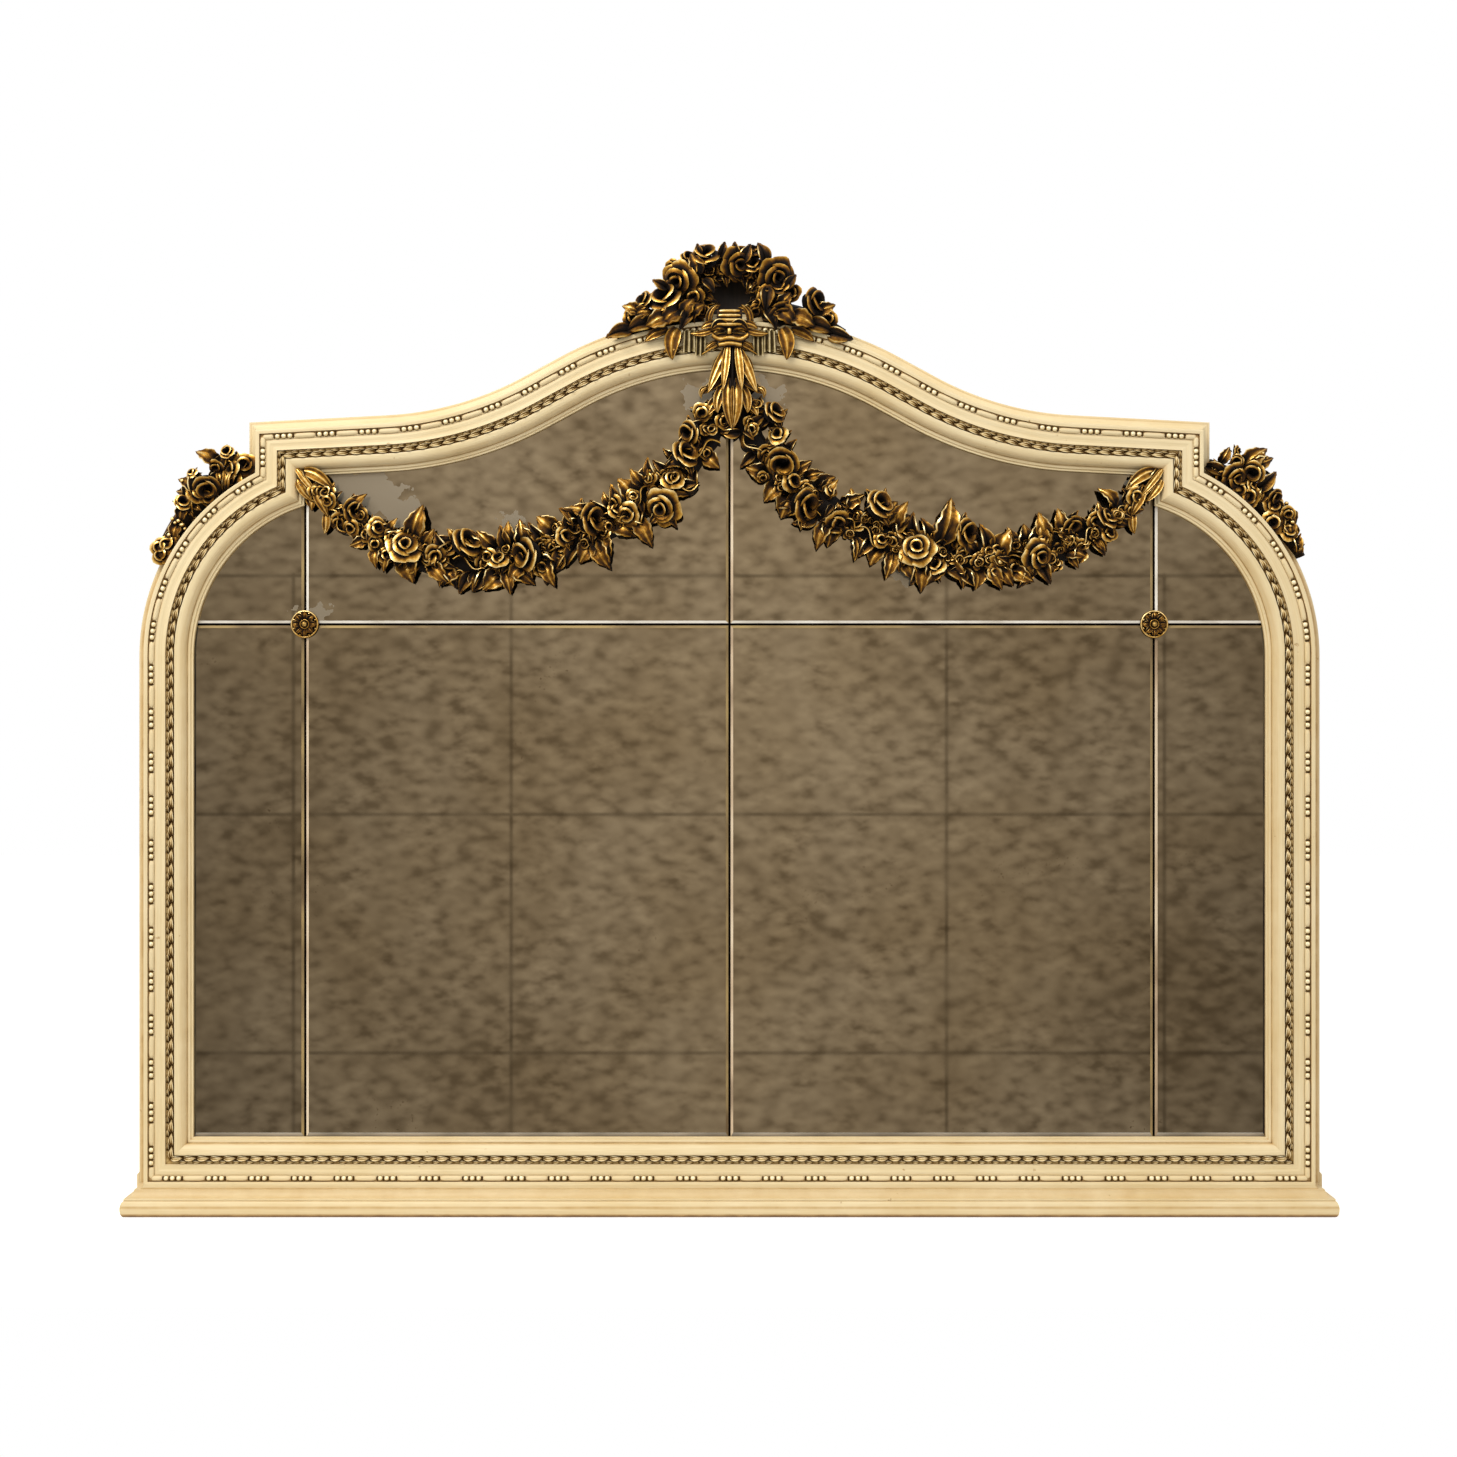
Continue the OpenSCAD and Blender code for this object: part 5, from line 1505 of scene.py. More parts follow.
@dataclass
class Garland:
    """A swag of roses and leaves that hangs from the ear to the crown, over the glass."""

    kit: CarvingKit
    side: Side
    blooms: Sequence[Bloom]
    sprigs: Sequence[Sprig]
    back: float = 30.3
    sag: float = 168.0
    rng: Random = field(default_factory=lambda: Random(11))

    def at(self, f: float) -> Vector:
        """A place on the swag's middle line, from the ear at 0 to the crown at 1."""
        start = Vector((LINES.ear_x - 14, LINES.ear_top[1] - 16))
        end = Vector((16, LINES.crown_top - 50))
        drop = self.sag * max(0.0, 4 * f * (1 - f)) ** (0.95 - 0.42 * f)
        place = start.lerp(end, f) - Vector((0, drop))
        return Vector((self.side.value * place.x, place.y))

    def heading(self, f: float) -> float:
        """Direction of the middle line in degrees."""
        step = self.at(min(1, f + 0.02)) - self.at(max(0, f - 0.02))
        return degrees(atan2(step.y, step.x))

    @staticmethod
    def half_width(f: float) -> float:
        """Half the width of the swag's flowers."""
        return 22 + 23 * swell(f, 0.02, 0.3) - 11 * swell(f, 0.8, 1)

    def stem(self) -> BMesh:
        """The ground that the flowers are carved on, painted dark as shade."""
        steps = 34
        line = []
        for i in range(steps + 1):
            f = i / steps
            turn = radians(self.heading(f))
            half = 0.52 * self.half_width(f) * (1 + 0.12 * sin(i * 2.1))
            line.append((self.at(f), (-sin(turn), cos(turn)), half))
        return ridge(line, self.back, 8)

    def build(self) -> None:
        """Builds the stem, the filling leaves, the chosen leaves and the flowers."""
        work = Carving(self.kit, self.stem())
        self.filling(work)
        for sprig in self.sprigs:
            self.leaf(work, sprig)
        self.ribbons(work)
        for bloom in self.blooms:
            self.flower(work, bloom)
        for blade in CORNER_BLADES:
            work.join(blade.shape(), Matrix.Diagonal((self.side.value, 1, 1, 1)))
        work.seat(self.back)
        publish(f"garland_{self.side.word}", work.bm, "gilding", GILT, sharp=50)

    def leaf(self, work: Carving, sprig: Sprig) -> None:
        """Sets one chosen leaf, which springs from the stem and ends where its tip should."""
        tip = Vector(sprig.end(1))
        share = min((i / 60 for i in range(61)), key=lambda f: (self.at(f) - tip).length)
        middle = self.at(share)
        root = middle + (tip - middle).normalized() * 0.42 * self.half_width(share)
        step = tip - root
        work.put(sprig.form, root.x, root.y, self.back + 9, max(24.0, step.length),
                 degrees(atan2(step.y, step.x)), self.rng.uniform(0, 8), self.rng.uniform(-22, 22),
                 stretch=(1, 1.1, 1.15))

    def flower(self, work: Carving, bloom: Bloom) -> None:
        """Sets one tilted flower with a collar of small leaves."""
        draw = self.rng.uniform
        lean = draw(0, 360)
        for i in range(4):
            turn = lean + 90 * i + draw(-24, 24)
            work.put(self.rng.choice((SMOOTH, TOOTHED)),
                     *polar((bloom.x, bloom.h), 0.5 * bloom.r, radians(turn)), self.back + 10, bloom.r, turn,
                     10, draw(-30, 30), stretch=(1, 1.15, 1.1))
        tilt = draw(32, 56) if bloom.form is CUP else draw(12, 40)
        work.put(bloom.form, bloom.x, bloom.h, self.back + 11 + 0.3 * bloom.r * sin(radians(tilt)), bloom.r,
                 lean, tilt, 0, draw(0, 72), (1, 1, 0.95))

    def filling(self, work: Carving) -> None:
        """Fills the swag between its flowers with leaves, small roses, buds and berries."""
        draw = self.rng.uniform
        steps = 32
        for i in range(steps):
            f = (i + 0.5) / steps
            middle, turn, half = self.at(f), self.heading(f), self.half_width(f)
            for lean in (-1, 1):
                form = self.rng.choice((TOOTHED, SMOOTH, SMOOTH, Form.SHELL_LEAF))
                a = radians(turn + 90 * lean)
                out = draw(0.22, 0.45) * half
                length = draw(0.6, 0.82) * half + 4
                swing = draw(-58, 58)
                work.put(form, *polar(middle, out, a), self.back + 6, length, turn + 90 * lean + swing,
                         draw(0, 16), draw(-28, 28), stretch=(1, 1.2, 1.2))
            for _ in range(3):
                a = draw(0, 2 * pi)
                out = draw(0.1, 0.66) * half
                form = self.rng.choice((SMALL, SMALL, BUD, SMOOTH))
                size = draw(8.5, 12.5) * (1.9 if form is SMOOTH else 1)
                work.put(form, *polar(middle, out, a), self.back + draw(8, 13), size, draw(0, 360),
                         draw(5, 38), stretch=(1, 1, 1.05))
            if i % 4 == 0:
                self.berries(work, middle, half)

    def ribbons(self, work: Carving) -> None:
        """Lays curled bands that stand on edge along the swag."""
        draw = self.rng.uniform
        count = 13
        for i in range(count):
            f = (i + 0.7) / (count + 0.6)
            middle, turn, half = self.at(f), self.heading(f), self.half_width(f)
            out = draw(-0.45, 0.45) * half
            flip = self.rng.choice((-1, 1))
            work.put(RIBBON, *polar(middle, out, radians(turn + 90)), self.back + 10,
                     draw(36, 52) * min(1.0, half / 28), turn + draw(-30, 30), 0, 0,
                     stretch=(1, 0.8 * flip, 0.85))

    def berries(self, work: Carving, middle: Vector, half: float) -> None:
        """Sets a short string of berries."""
        a = self.rng.uniform(0, 2 * pi)
        for k in range(3):
            work.put(Form.BERRY, *polar(middle, 0.45 * half + 4.6 * k, a), self.back + 11 - k, 2.7)


LEFT_BLOOMS = blooms(
    (-568, 1052, 17, CUP), (-486, 992, 24), (-398, 997, 24, CUP), (-296, 985, 25, CUP),
    (-213, 1035, 24, CUP), (-96, 1058, 26), (-71, 1129, 22, CUP), (-55, 1168, 18, CUP),
    (-345, 975, 15, SMALL), (-528, 1024, 15, SMALL), (-150, 1045, 18, SMALL), (-250, 1010, 15, SMALL),
    (-440, 986, 15, SMALL), (-84, 1094, 17, SMALL), (-40, 1198, 14, SMALL), (-600, 1076, 13, BUD))
RIGHT_BLOOMS = blooms(
    (63, 1192, 18, CUP), (81, 1128, 24, CUP), (105, 1058, 25, CUP), (220, 1053, 23, CUP), (281, 990, 25),
    (347, 1018, 21, CUP), (456, 984, 24), (404, 974, 17, DAISY), (508, 1032, 16, CUP),
    (160, 1038, 17, SMALL), (310, 964, 15, SMALL), (558, 1034, 18, CUP), (604, 1072, 14, SMALL),
    (74, 1160, 15, SMALL), (92, 1092, 17, SMALL), (40, 1206, 13, BUD))
LEFT_SPRIGS = sprigs(
    (-454, 1041, 105), (-195, 1062, 70), (-144, 1094, 105, 40), (-424, 965, -110), (-383, 946, -95, 34),
    (-331, 943, -80), (-270, 952, -60, 38), (-183, 983, -75, 42), (-119, 1015, -80, 38),
    (-622, 1090, 130, 34, SMOOTH), (-548, 1060, 70, 32), (-330, 1020, 95, 30), (-500, 1024, 80, 30))
RIGHT_SPRIGS = sprigs(
    (270, 1046, 100), (325, 1052, 70, 34), (464, 1030, 95), (483, 1040, 60, 32), (545, 1066, 70),
    (129, 1012, -85, 40), (237, 966, -100, 38), (286, 946, -85, 36), (347, 950, -80, 34),
    (513, 981, -60, 38), (554, 1002, -50, 34), (622, 1090, 50, 34, SMOOTH), (150, 1082, 80, 34))


@dataclass
class Pendant:
    """Long folded leaves that hang over the middle of the crown, about a slit painted dark as shade."""

    kit: CarvingKit
    middle: float = 4.5
    back: float = 36.5
    front: float = 70.0

    def build(self) -> None:
        """Builds both halves from the outer leaves to the ones in front, then the dark shade forms of the
        slit between them.
        """
        cuts = ((1298, 4), (1262, 15), (1232, 22), (1205, 16), (1184, 8))
        work = Carving(self.kit, ridge([((self.middle, h), (1, 0), w) for h, w in cuts], 38, 17))
        for s in (-1, 1):
            for leaf in (Husk((s * 9, 1284, 52), (s * 26, 1270, 54), (s * 30, 1245, 55), 7.0),
                         Husk((s * 9, 1250, 50), (s * 30, 1236, 54), (s * 47, 1222, 57), 7.5),
                         Husk((s * 10, 1240, 50), (s * 26, 1215, 56), (s * 22, 1194, 54), 8.0),
                         Husk((s * 16, 1222, 46), (s * 32, 1208, 50), (s * 38, 1190, 50), 8.0),
                         Husk((s * 7, 1292, 55), (s * 22, 1262, 59), (s * 37, 1222, 61), 8.0),
                         Husk((s * 7, 1294, 57), (s * 11, 1262, 62), (s * 14, 1226, 62), 6.4),
                         Husk((s * 5, 1246, 54), (s * 9, 1205, 63), (s * 1, 1171, 55), 9.5, 0.45),
                         Husk((s * 36, 1232, 56), (s * 51, 1230, 61), (s * 46, 1215, 57), 4.0, 0.5)):
                work.join(leaf.shape(), Matrix.Translation((self.middle, 0, 0)))
            # Dark shade forms stand in for the shade in the slit and between the leaves.
            work.put(Form.SHADE, self.middle + s * 3, 1236, 60, 2.2, 90, stretch=(3.4, 1, 1))
        work.put(Form.SHADE, self.middle, 1257, 59.5, 3.2, 90, stretch=(11, 0.6, 0.9))
        work.seat(self.back, self.front)
        publish("acanthus_pendant", work.bm, "gilding", GILT, sharp=50)


CREST_BLOOMS = blooms(
    (-70, 1395, 26, ROSE, 40, 36), (-36, 1423, 21, CUP, -88, 38), (-61, 1422, 13, CUP, -105, 34),
    (9, 1421, 23, ROSE, 135, 34), (67, 1404, 25, ROSE, 120, 34), (38, 1432, 15, SMALL, -90, 50),
    (37, 1412, 14, CUP, -70, 30), (79, 1382, 14, CUP, -40, 30), (-90, 1358, 25, CUP, -55, 42),
    (-122, 1360, 15, CUP, -30, 48), (-52, 1370, 15, SMALL, 60, 20), (119, 1358, 21, CUP, 190, 50),
    (73, 1348, 21, CUP, 120, 46), (96, 1374, 13, SMALL, 0, 20), (56, 1372, 15, SMALL, 90, 20),
    (-148, 1338, 13, SMALL, 160, 20), (150, 1336, 13, SMALL, 20, 20), (-84, 1416, 10, SMALL, 30, 30))
CREST_SPRIGS = sprigs(
    (-60, 1350, 60, 34), (-48, 1346, 40, 30), (55, 1362, -95, 36, SMOOTH), (92, 1390, 55, 26, SMOOTH),
    (-88, 1336, 215, 40), (84, 1336, -40, 40), (-66, 1332, 240, 32, SMOOTH), (62, 1332, -60, 32, SMOOTH),
    (-108, 1330, 205, 40), (-136, 1322, 200, 42, SMOOTH), (-166, 1313, 196, 40, SMOOTH),
    (110, 1330, -25, 40), (138, 1322, -20, 42, SMOOTH), (166, 1311, -16, 40, SMOOTH), (-146, 1350, 160, 30),
    (144, 1352, 20, 30), (24, 1432, 62, 32, SMOOTH), (48, 1432, 112, 34, SMOOTH),
    (10, 1437, 100, 26, SMOOTH), (-30, 1382, -50, 26, SMOOTH), (-104, 1386, 150, 26, SMOOTH),
    (-10, 1438, 75, 24, SMOOTH), (-47, 1436, 95, 22, SMOOTH), (-52, 1416, 110, 34), (-54, 1408, 70, 30),
    (-128, 1344, 12, 30), (82, 1362, 50, 30))


@dataclass
class Crest:
    """The wreath of roses over the crown, and the block, bow and drapery under it."""

    kit: CarvingKit
    back: float = 13.4
    console_back: float = 49.0
    rng: Random = field(default_factory=lambda: Random(5))

    @property
    def middle(self) -> Vector:
        """Middle of the wreath."""
        return Vector((2, LINES.crown_top + 109))

    def build(self) -> None:
        """Builds the wreath and the console."""
        self.wreath()
        self.console()

    def wreath(self) -> None:
        """A ring of roses with a tail of leaves to each side."""
        draw = self.rng.uniform
        work = Carving(self.kit, self.ground())
        for i in range(17):
            a = -38 + 256 * i / 16
            r = radians(a)
            for out, low, high in ((1.0, 22, 29), (0.66, 17, 22)):
                place = self.middle + out * Vector((62 * cos(r), 50 * sin(r)))
                lean = a if out == 1.0 else a + 180
                work.put(self.rng.choice((TOOTHED, SMOOTH)), *place, 40,
                         draw(low, high) * (1 - 0.4 * max(0.0, sin(r)) * (out == 1.0)),
                         lean + draw(-55, 55), draw(0, 12), draw(-20, 20), stretch=(1, 1.2, 1.2))
            out = draw(0.72, 1.1)
            place = self.middle + out * Vector((60 * cos(r), 48 * sin(r)))
            work.put(self.rng.choice((BUD, SMALL)), *place, 44, draw(9, 11.5), draw(0, 360), draw(5, 35))
        for bloom in CREST_BLOOMS:
            work.put(bloom.form, bloom.x, bloom.h, 47, bloom.r, bloom.lean, bloom.tilt, 0, draw(0, 72))
        for sprig in CREST_SPRIGS:
            depth = 48 if abs(sprig.x) > 125 else 56
            work.put(sprig.form, *sprig.end(-1), depth, sprig.length, sprig.turn, 0, draw(-15, 15),
                     stretch=(1, 1.3, 1.2), finish=int(abs(sprig.x) > 100))
        work.seat(self.back)
        publish("crest_wreath", work.bm, "gilding", CREST_GILT, GILT, sharp=50)

    def ground(self) -> BMesh:
        """The ground of the ring and its tails, from the backing board forwards, painted dark as shade."""
        line = [Vector((-172, 1318)), Vector((-140, 1334)), Vector((-104, 1346))]
        for i in range(19):
            a = radians(200 - 220 * i / 18)
            line.append(self.middle + Vector((60 * cos(a), 50 * sin(a))))
        line += [Vector((104, 1346)), Vector((140, 1334)), Vector((172, 1318))]
        cuts = []
        for i, point in enumerate(line):
            step = line[min(i + 1, len(line) - 1)] - line[max(i - 1, 0)]
            side = Vector((-step.y, step.x)).normalized()
            half = 6 + 14 * sin(pi * min(1, (i + 0.5) / 5, (len(line) - i - 0.5) / 5) / 2)
            cuts.append((point, side, half))
        return ridge(cuts, self.back, 32)

    def console(self) -> None:
        """The reeded block with its scrolls, the bow and the folds of drapery."""
        block = bmesh.new()
        bmesh.ops.create_cube(block, size=1.0, matrix=Matrix.Translation((0, 1333, 60))
                              @ Matrix.Diagonal((38, 26, 10, 1)))
        bmesh.ops.bevel(block, geom=block.edges[:], offset=1.5, segments=2, affect="EDGES", profile=0.5,
                        material=-1)
        # The block is painted darker as shade behind its reeds and scrolls.
        work = Carving(self.kit, tint(block, -0.4))
        for i in range(4):
            work.put(Form.BARREL, 0, 1324 + 6.6 * i, 64.5, 3.1, stretch=(6.4 - 0.4 * i, 1, 0.9))
        for s in (-1, 1):
            for husk in (Husk((s * 30, 1322, 58), (s * 34, 1344, 62), (s * 17, 1354, 62), 5.5, 0.5),
                         Husk((s * 16, 1326, 58), (s * 34, 1326, 64), (s * 42, 1318, 60), 6.0),
                         Husk((s * 22, 1318, 58), (s * 40, 1308, 62), (s * 58, 1312, 58), 5.0),
                         Husk((s * 3, 1319, 58), (s * 17, 1331, 65), (s * 28, 1314, 60), 8.0, 0.9),
                         Husk((s * 3, 1310, 58), (s * 15, 1302, 63), (s * 26, 1310, 59), 5.5, 0.7),
                         Husk((s * 8, 1316, 59), (s * 16, 1317, 64), (s * 24, 1312, 61), 3.2, 0.3),
                         Husk((s * 78, 1320, 54), (s * 90, 1302, 59), (s * 85, 1273, 55), 12.0),
                         Husk((s * 74, 1310, 54), (s * 82, 1292, 57), (s * 99, 1284, 55), 7.0),
                         Husk((s * 92, 1318, 54), (s * 112, 1316, 57), (s * 126, 1300, 55), 8.0),
                         Husk((s * 14, 1296, 58), (s * 28, 1290, 60), (s * 42, 1280, 57), 2.2, 0.3),
                         Husk((s * 18, 1300, 58), (s * 30, 1296, 61), (s * 36, 1288, 58), 3.6, 0.5)):
                work.join(husk.shape())
        work.put(Form.BARREL, 0, 1314, 62, 5.0, 90, stretch=(1.1, 0.8, 0.9))
        work.join(self.lip(54, 2.5, 0.011), Matrix.Translation((1, 1302, 57)))
        work.join(self.lip(34, 0.5, -0.006), Matrix.Translation((1, 1296, 56)))
        drape = Carving(self.kit)
        for s in (-1, 1):
            for inner, outer, low in ((36, 49, 1280), (52, 67, 1286)):
                drape.join(self.folds(inner, outer, low), Matrix.Diagonal((s, 1, 1, 1)))
        for face in drape.bm.faces:
            face.material_index = 1
        work.join(drape.bm)
        work.seat(self.console_back)
        publish("crest_console", work.bm, "gilding", CREST_GILT, DRAPERY_GILT, sharp=45)

    @staticmethod
    def lip(width: float, wave: float, arch: float) -> BMesh:
        """A wavy band under the bow.

        Args:
            width: Length of the band.
            wave: Height of its waves.
            arch: How far its ends rise, negative where they fall.

        Returns:
            The band about the origin.
        """
        def shape(u: float, v: float) -> Shaped:
            x = width * (v - 0.5)
            # Painted highlight along the band's middle.
            return (x, wave * cos(x / 6) + arch * x * x + 2.8 * u, 5 + 2 * (1 - u * u)), 1 - abs(u)
        return patch(shape, 4, 30, 1.8)

    @staticmethod
    def folds(inner: float, outer: float, low: float) -> BMesh:
        """A pair of pleats beside the bow, lying on the crown's face.

        Args:
            inner: Distance of their inner edge from the middle.
            outer: Distance of their outer edge.
            low: Height of their hem.

        Returns:
            The pleats of the right half.
        """
        def shape(u: float, v: float) -> Shaped:
            across = (u + 1) / 2
            pleat = cos(across * 4 * pi)
            x = inner + (outer - inner) * across * (1.08 - 0.08 * v)
            h = low - 1.6 * pleat + v * (1317 - low)
            # Painted light on the pleats: highlight on their crests, painted shade in their hollows, and
            # lighter near the hem.
            rim = 0.7 * swell(pleat, -0.2, 1) - 0.1 + 0.4 * swell(1 - v, 0.86, 1)
            return (x, h, 54.5 + 2.3 * pleat * (1.1 - 0.3 * v) + 1.5 * v), rim
        return patch(shape, 16, 8, 1.6)


@dataclass
class Spray:
    """Flowers, berries and leaves on the outside of a shoulder."""

    kit: CarvingKit
    side: Side
    blooms: Sequence[Bloom]
    sprigs: Sequence[Sprig]
    berries: Sequence[Place]
    ring: float = 330.0
    back: float = 1.0
    rng: Random = field(default_factory=lambda: Random(3))

    def depth(self, x: float, h: float) -> float:
        """Depth of the frame's surface under a place, or of the carving's own back beyond it."""
        cx, cz = LINES.shoulder_c
        out = hypot(abs(x) - cx, h - cz) - LINES.shoulder_r
        if out > 84:
            return 14.0
        return 53 - 39 * sin(acos(min(1.0, max(0.0, (84 - out) / 15))))

    def build(self) -> None:
        """Builds the ground, the leaves, the berries and the flowers."""
        draw = self.rng.uniform
        side, ring = self.side.value, self.ring
        cx, cz = LINES.shoulder_c
        cx *= side
        cuts = []
        for i in range(15):
            a = radians(27 + 35 * i / 14)
            across = (side * cos(a), sin(a))
            middle = (cx + ring * across[0], cz + ring * across[1])
            cuts.append((middle, across, 5 + 13 * sin(pi * (i + 0.7) / 16)))
        # Its ground is painted half dark as shade between the leaves and flowers.
        work = Carving(self.kit, ridge(cuts, self.back, 30, -0.5))
        for i in range(22):
            a = radians(28 + 33 * i / 21)
            out = ring + draw(-15, 9)
            work.put(self.rng.choice((SMOOTH, TOOTHED, SMALL)), cx + side * out * cos(a),
                     cz + out * sin(a), 25, draw(12, 15), draw(0, 360), draw(0, 25), stretch=(1.2, 1.2, 1.1))
        for sprig in self.sprigs:
            x, h = sprig.end(-1)
            work.put(sprig.form, x, h, max(24.0, self.depth(x, h) + 1), sprig.length, sprig.turn, 2,
                     draw(-18, 18), stretch=(1, 1.15, 1.2))
        for x, h in self.berries:
            work.put(Form.BERRY, x, h, 34, 3.4)
            work.put(Form.BERRY, x - side * 4, h - 6, 34, 3.0)
        for bloom in self.blooms:
            for i in range(4):
                turn = 90 * i + draw(-25, 25)
                work.put(SMOOTH, *polar((bloom.x, bloom.h), 0.5 * bloom.r, radians(turn)), 26,
                         0.95 * bloom.r, turn)
            work.put(bloom.form, bloom.x, bloom.h, 31, bloom.r, draw(0, 360), draw(20, 46), 0, draw(0, 72))
        work.seat(self.back)
        publish(f"spray_{self.side.word}", work.bm, "gilding", GILT, sharp=50)


LEFT_SPRAY = (
    blooms(
        (-785, 1091, 20, CUP), (-753, 1137, 11, CUP), (-821, 1061, 13, CUP), (-742, 1112, 14, SMALL),
        (-770, 1120, 11, SMALL), (-806, 1106, 9, SMALL)),
    sprigs(
        (-786, 1131, 150, 40), (-733, 1129, -49, 30, FLUTED), (-744, 1126, 60, 26, SMOOTH),
        (-738, 1112, 24, 34, FLUTED), (-742, 1120, 10, 34, RIBBON), (-812, 1090, 152, 40),
        (-768, 1104, 60, 30), (-746, 1122, 110, 26), (-750, 1112, 20, 26), (-818, 1080, 175, 30),
        (-768, 1098, 102, 38, FLUTED), (-759, 1096, 92, 38, FLUTED), (-749, 1095, 80, 32, FLUTED),
        (-785, 1078, -52, 32, FLUTED), (-767, 1072, 30, 24, FLUTED), (-803, 1084, -88, 46, SMOOTH),
        (-812, 1078, -110, 34), (-825, 1046, -100, 30), (-834, 1020, -105, 32),
        (-843, 998, -100, 32, SMOOTH), (-832, 1008, -80, 26), (-760, 1128, 60, 30), (-772, 1086, -60, 30),
        (-812, 1058, -75, 28, SMOOTH)),
    ((-821, 1096), (-813, 1091), (-814, 1081), (-836, 1039), (-827, 1036), (-821, 1030), (-841, 1015)))
RIGHT_SPRAY = (
    blooms(
        (753, 1104, 20), (790, 1111, 17, CUP), (814, 1075, 13, CUP), (763, 1127, 10, CUP),
        (838, 1049, 11, SMALL), (760, 1141, 8, SMALL), (782, 1088, 10, SMALL)),
    sprigs(
        (735, 1111, -26, 38, SMOOTH), (768, 1102, -80, 38, FLUTED), (752, 1091, -75, 28, FLUTED),
        (760, 1092, -86, 28, FLUTED), (746, 1136, 60, 28), (790, 1131, 37, 48), (800, 1127, 14, 38),
        (772, 1102, 110, 30), (784, 1094, 60, 30), (801, 1125, -12, 22, FLUTED), (783, 1086, 2, 30, FLUTED),
        (808, 1097, 43, 42, SMOOTH), (846, 1042, -60, 26), (820, 1044, 50, 24, SMOOTH),
        (841, 1022, -75, 32), (852, 1000, -80, 30, SMOOTH), (828, 1058, -50, 30), (800, 1074, -110, 28),
        (830, 1030, -95, 28, SMOOTH), (772, 1116, 100, 26)),
    ((800, 1137), (806, 1131), (797, 1130), (836, 1062), (845, 1034)))


# ---------------------------------------------------------------- back and fittings

@dataclass
class Backs:
    """CAD pieces that are right as they are and only need their finish."""

    finishes: dict[str, Finish] = field(default_factory=lambda: {
        "backboard": PINE_UP, "batten_screws": IRON, "batten": PINE_ACROSS, "retaining_blocks": PINE_ACROSS,
        "joint_dowels": PINE_UP, "mitre_splines": PINE_ACROSS, "plinth_core": PINE_ACROSS,
        "crest_backing": STAINED_PINE, "garland_pins": IRON, "hanger": IRON})

    def build(self) -> None:
        """Gives each such node its finish."""
        for name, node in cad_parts.items():
            for start, finish in self.finishes.items():
                if name.startswith(start):
                    for place in node.material_slots:
                        place.material = finish.material()
                    LOG.info("%s: %s", name, finish.name)
                    break


# ---------------------------------------------------------------- studio

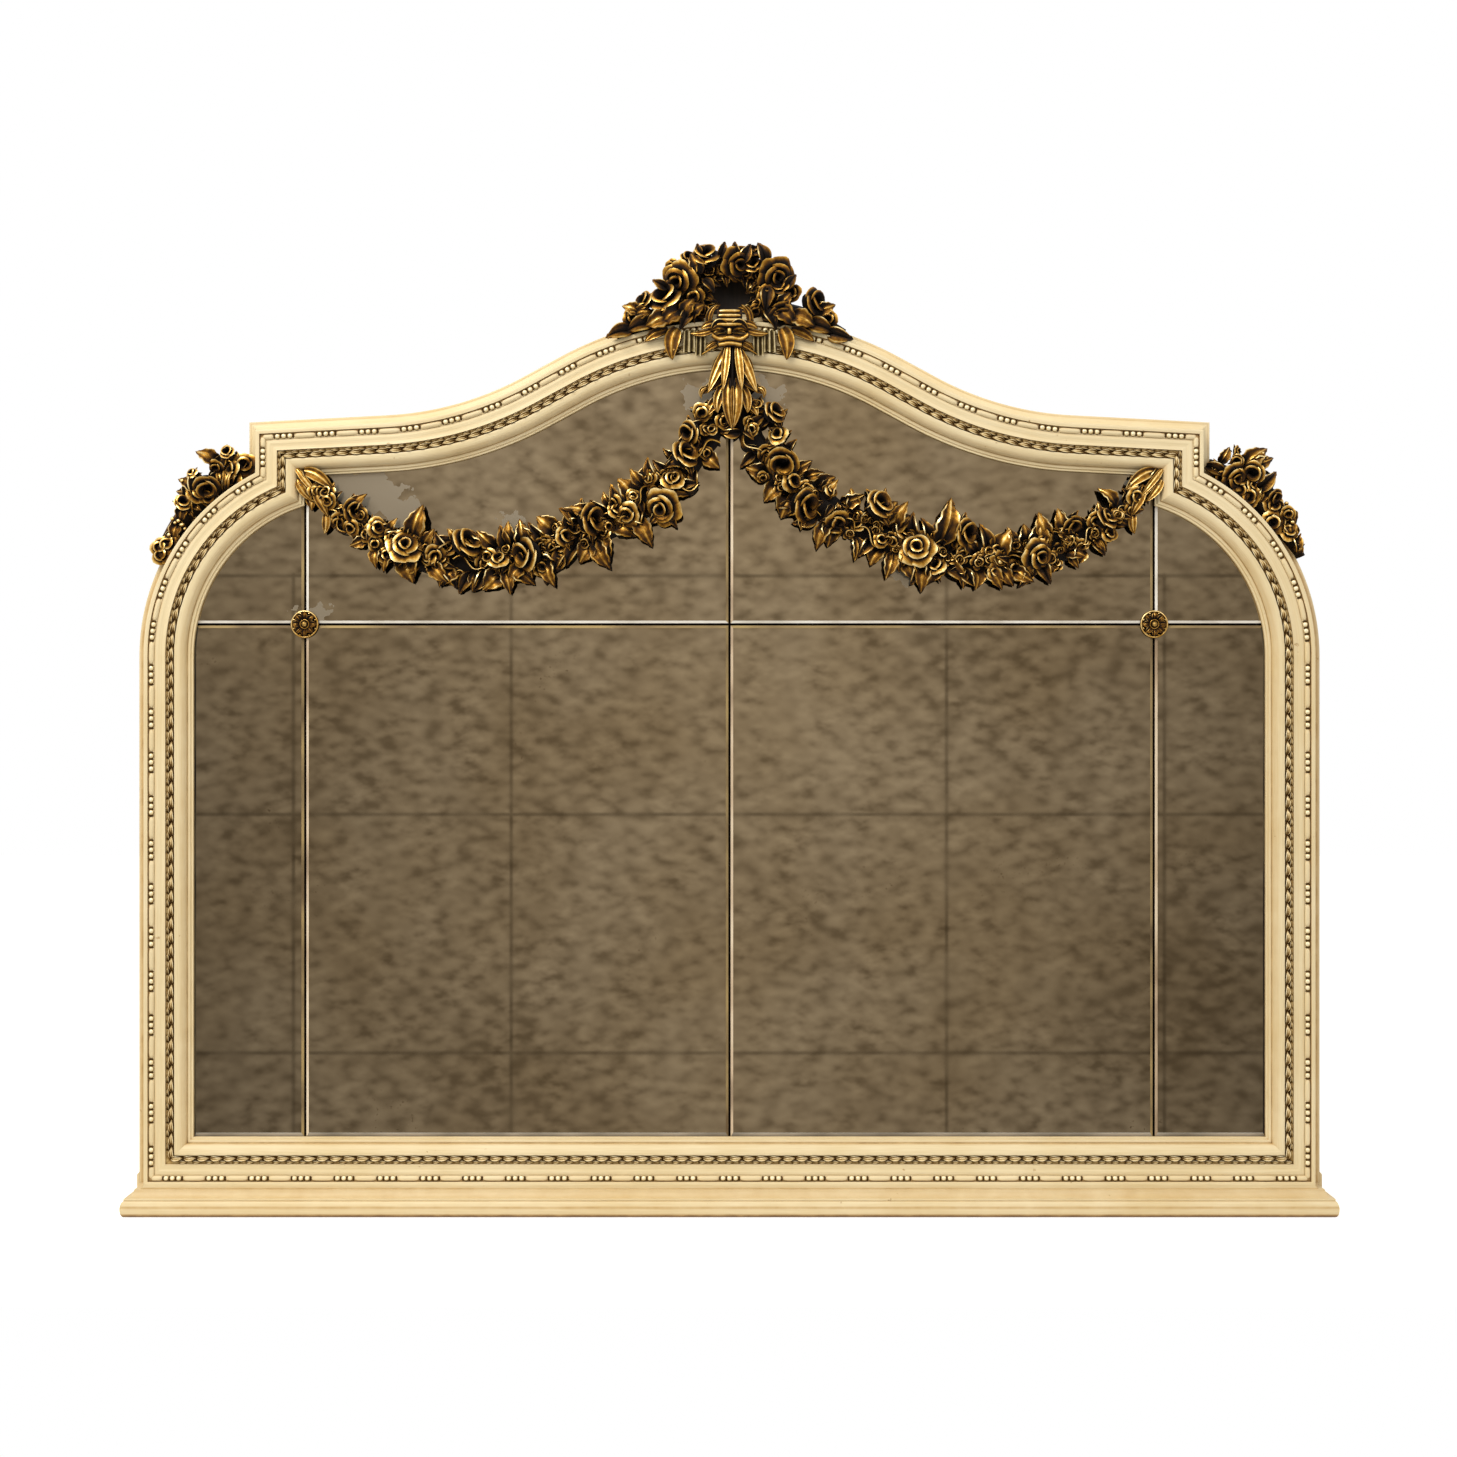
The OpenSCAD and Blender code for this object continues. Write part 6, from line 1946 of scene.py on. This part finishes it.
@dataclass
class Studio:
    """White floor and surroundings, a soft key from the upper left, and the photograph's camera."""

    camera_at: tuple[float, float, float] = (-0.0015, -2.7085, 0.7244)
    sight_w: float = 2.1855
    sight_from: float = 2.7
    block: tuple[float, float] = (0.835, 0.915)

    def build(self) -> None:
        """Sets the stage."""
        scene = bpy.context.scene
        scene.view_settings.view_transform = "Standard"
        self.camera(scene)
        self.world(scene)
        self.lamp("key", (-1.7, -2.3, 3.4), (0, 0, 0.65), 2.0, 104, "#fffaf2")
        self.lamp("fill", (2.4, -2.6, 2.9), (0, 0, 0.6), 2.2, 32, "#f4f6ff")
        self.floor()
        self.card()

    def camera(self, scene: bpy.types.Scene) -> None:
        """Camera level with the middle of the picture, at the photograph's distance."""
        data = bpy.data.cameras.new("camera")
        data.sensor_width = 36.0
        data.lens = data.sensor_width * self.sight_from / self.sight_w
        eye = bpy.data.objects.new("camera", data)
        eye.location = self.camera_at
        eye.rotation_euler = (pi / 2, 0, 0)
        scene.collection.objects.link(eye)
        scene.camera = eye

    def world(self, scene: bpy.types.Scene) -> None:
        """White to the camera and to reflections, softer as light."""
        world = bpy.data.worlds.new("studio")
        world.use_nodes = True
        world.node_tree.nodes.clear()
        node = partial(add, world.node_tree)
        seen: object = 0.0
        for ray in ("Camera", "Glossy", "Transmission"):
            seen = node("Math", seen, node("LightPath", out=f"Is {ray} Ray"), operation="MAXIMUM")
        soft = node("Background", linear("#fffaf2"), 0.55)
        node("OutputWorld", node("MixShader", seen, soft, node("Background", (1, 1, 1, 1), 1.0)))
        scene.world = world

    def lamp(self, name: str, at: Sequence[float], aim: Sequence[float], size: float, watts: float,
             colour: str) -> None:
        """Adds one square soft lamp.

        Args:
            name: Name of the lamp.
            at: Its place in metres.
            aim: The point that it faces.
            size: Side of the square in metres.
            watts: Its power.
            colour: Colour of its light.
        """
        data = bpy.data.lights.new(name, "AREA")
        data.size, data.energy, data.color = size, watts, linear(colour)[:3]
        lamp = bpy.data.objects.new(name, data)
        lamp.location = at
        lamp.rotation_euler = (Vector(aim) - Vector(at)).to_track_quat("-Z", "Y").to_euler()
        lamp.visible_camera = False
        bpy.context.scene.collection.objects.link(lamp)

    def sheet(self, name: str, matrix: Matrix) -> Adder:
        """Lays a flat sheet of the stage.

        Args:
            name: Name of the sheet.
            matrix: Its place and half its size.

        Returns:
            What adds nodes to its empty material.
        """
        bm = bmesh.new()
        bmesh.ops.create_grid(bm, x_segments=1, y_segments=1, size=1.0, matrix=matrix)
        mesh = bpy.data.meshes.new(name)
        bm.to_mesh(mesh)
        bm.free()
        material = bpy.data.materials.new(name)
        material.use_nodes = True
        material.node_tree.nodes.clear()
        mesh.materials.append(material)
        sheet = bpy.data.objects.new(name, mesh)
        bpy.context.scene.collection.objects.link(sheet)
        return partial(add, material.node_tree)

    def floor(self) -> None:
        """White floor, lifted a little for the camera so that only the shadow shows on it."""
        node = self.sheet("floor", Matrix.Translation((0, 3.55, -0.0005)) @ Matrix.Diagonal((8, 4, 1, 1)))
        plain = node("BsdfPrincipled", Base_Color=linear("#f2f1ee"), Roughness=0.9)
        lift = node("MixShader", node("LightPath", out="Is Camera Ray"),
                    node("Emission", (0, 0, 0, 1), 0.0), node("Emission", (1, 1, 1, 1), 0.6))
        node("OutputMaterial", node("AddShader", plain, lift))

    def card(self) -> None:
        """A dim warm card far behind the camera, which only the glass sees: it glows with a painted stone
        room, lighter towards the top and darker to the sides, as painted light for the glass to reflect.
        """
        upright = Matrix.Rotation(pi / 2, 4, "X") @ Matrix.Diagonal((2.4, 2.1, 1, 1))
        node = self.sheet("room_card", Matrix.Translation((0, -4.2, 0.4)) @ upright)
        place = node("TexCoord", out="Object")
        across, height = (node("SeparateXYZ", place, out=axis) for axis in "XZ")
        slant = node("Mapping", place, Rotation=(0, radians(35), 0), Scale=(1.0, 1.0, 1.9))
        coarse = node("Math", node("TexNoise", place, mm(900), 2.0), 0.25, operation="MULTIPLY")
        grit = node("Math", node("TexNoise", slant, mm(75), 7.0), 0.75, coarse, operation="MULTIPLY_ADD")
        stone = node("ValToRGB", grit, stops=((0.37, "#756857"), (0.49, "#998b79"), (0.64, "#b0a28f")))
        wide, tall = self.block
        flat = node("Mapping", place, (wide, 0.52, 0), (-pi / 2, 0, 0))
        joints = node("TexBrick", flat, Scale=1.0, Mortar_Size=0.009, Mortar_Smooth=0.6, Brick_Width=wide,
                      Row_Height=tall, offset=0.0, out="Fac")
        low = node("Math", height, 1.32, operation="LESS_THAN")
        joints = node("Math", node("Math", joints, low, operation="MULTIPLY"), 0.6, operation="MULTIPLY")
        tone = node("Mix", joints, stone, linear("#4c4234"), data_type="RGBA")
        light = node("Math", height, 0.15, 1.395, operation="MULTIPLY_ADD")
        square = node("Math", across, across, operation="MULTIPLY")
        light = node("Math", square, -0.13, light, operation="MULTIPLY_ADD")
        only = node("MixShader", node("LightPath", out="Is Glossy Ray"), node("BsdfTransparent"),
                    node("Emission", tone, light))
        node("OutputMaterial", only)


def main() -> None:
    """Builds the mirror's pieces in order and sets the stage."""
    logging.basicConfig(level=logging.INFO, format="%(message)s")
    kit = CarvingKit()
    parts = [Moulding(), Plinth(), BeadCourse(kit), LeafCourse(kit), Glazing(), Rosettes(kit),
             Garland(kit, Side.LEFT, LEFT_BLOOMS, LEFT_SPRIGS),
             Garland(kit, Side.RIGHT, RIGHT_BLOOMS, RIGHT_SPRIGS, rng=Random(17)),
             Pendant(kit), Crest(kit), Spray(kit, Side.LEFT, *LEFT_SPRAY),
             Spray(kit, Side.RIGHT, *RIGHT_SPRAY, rng=Random(9)), Backs(), Studio()]
    for part in parts:
        part.build()
        LOG.info("%s done", type(part).__name__)


if __name__ == "__main__":
    main()
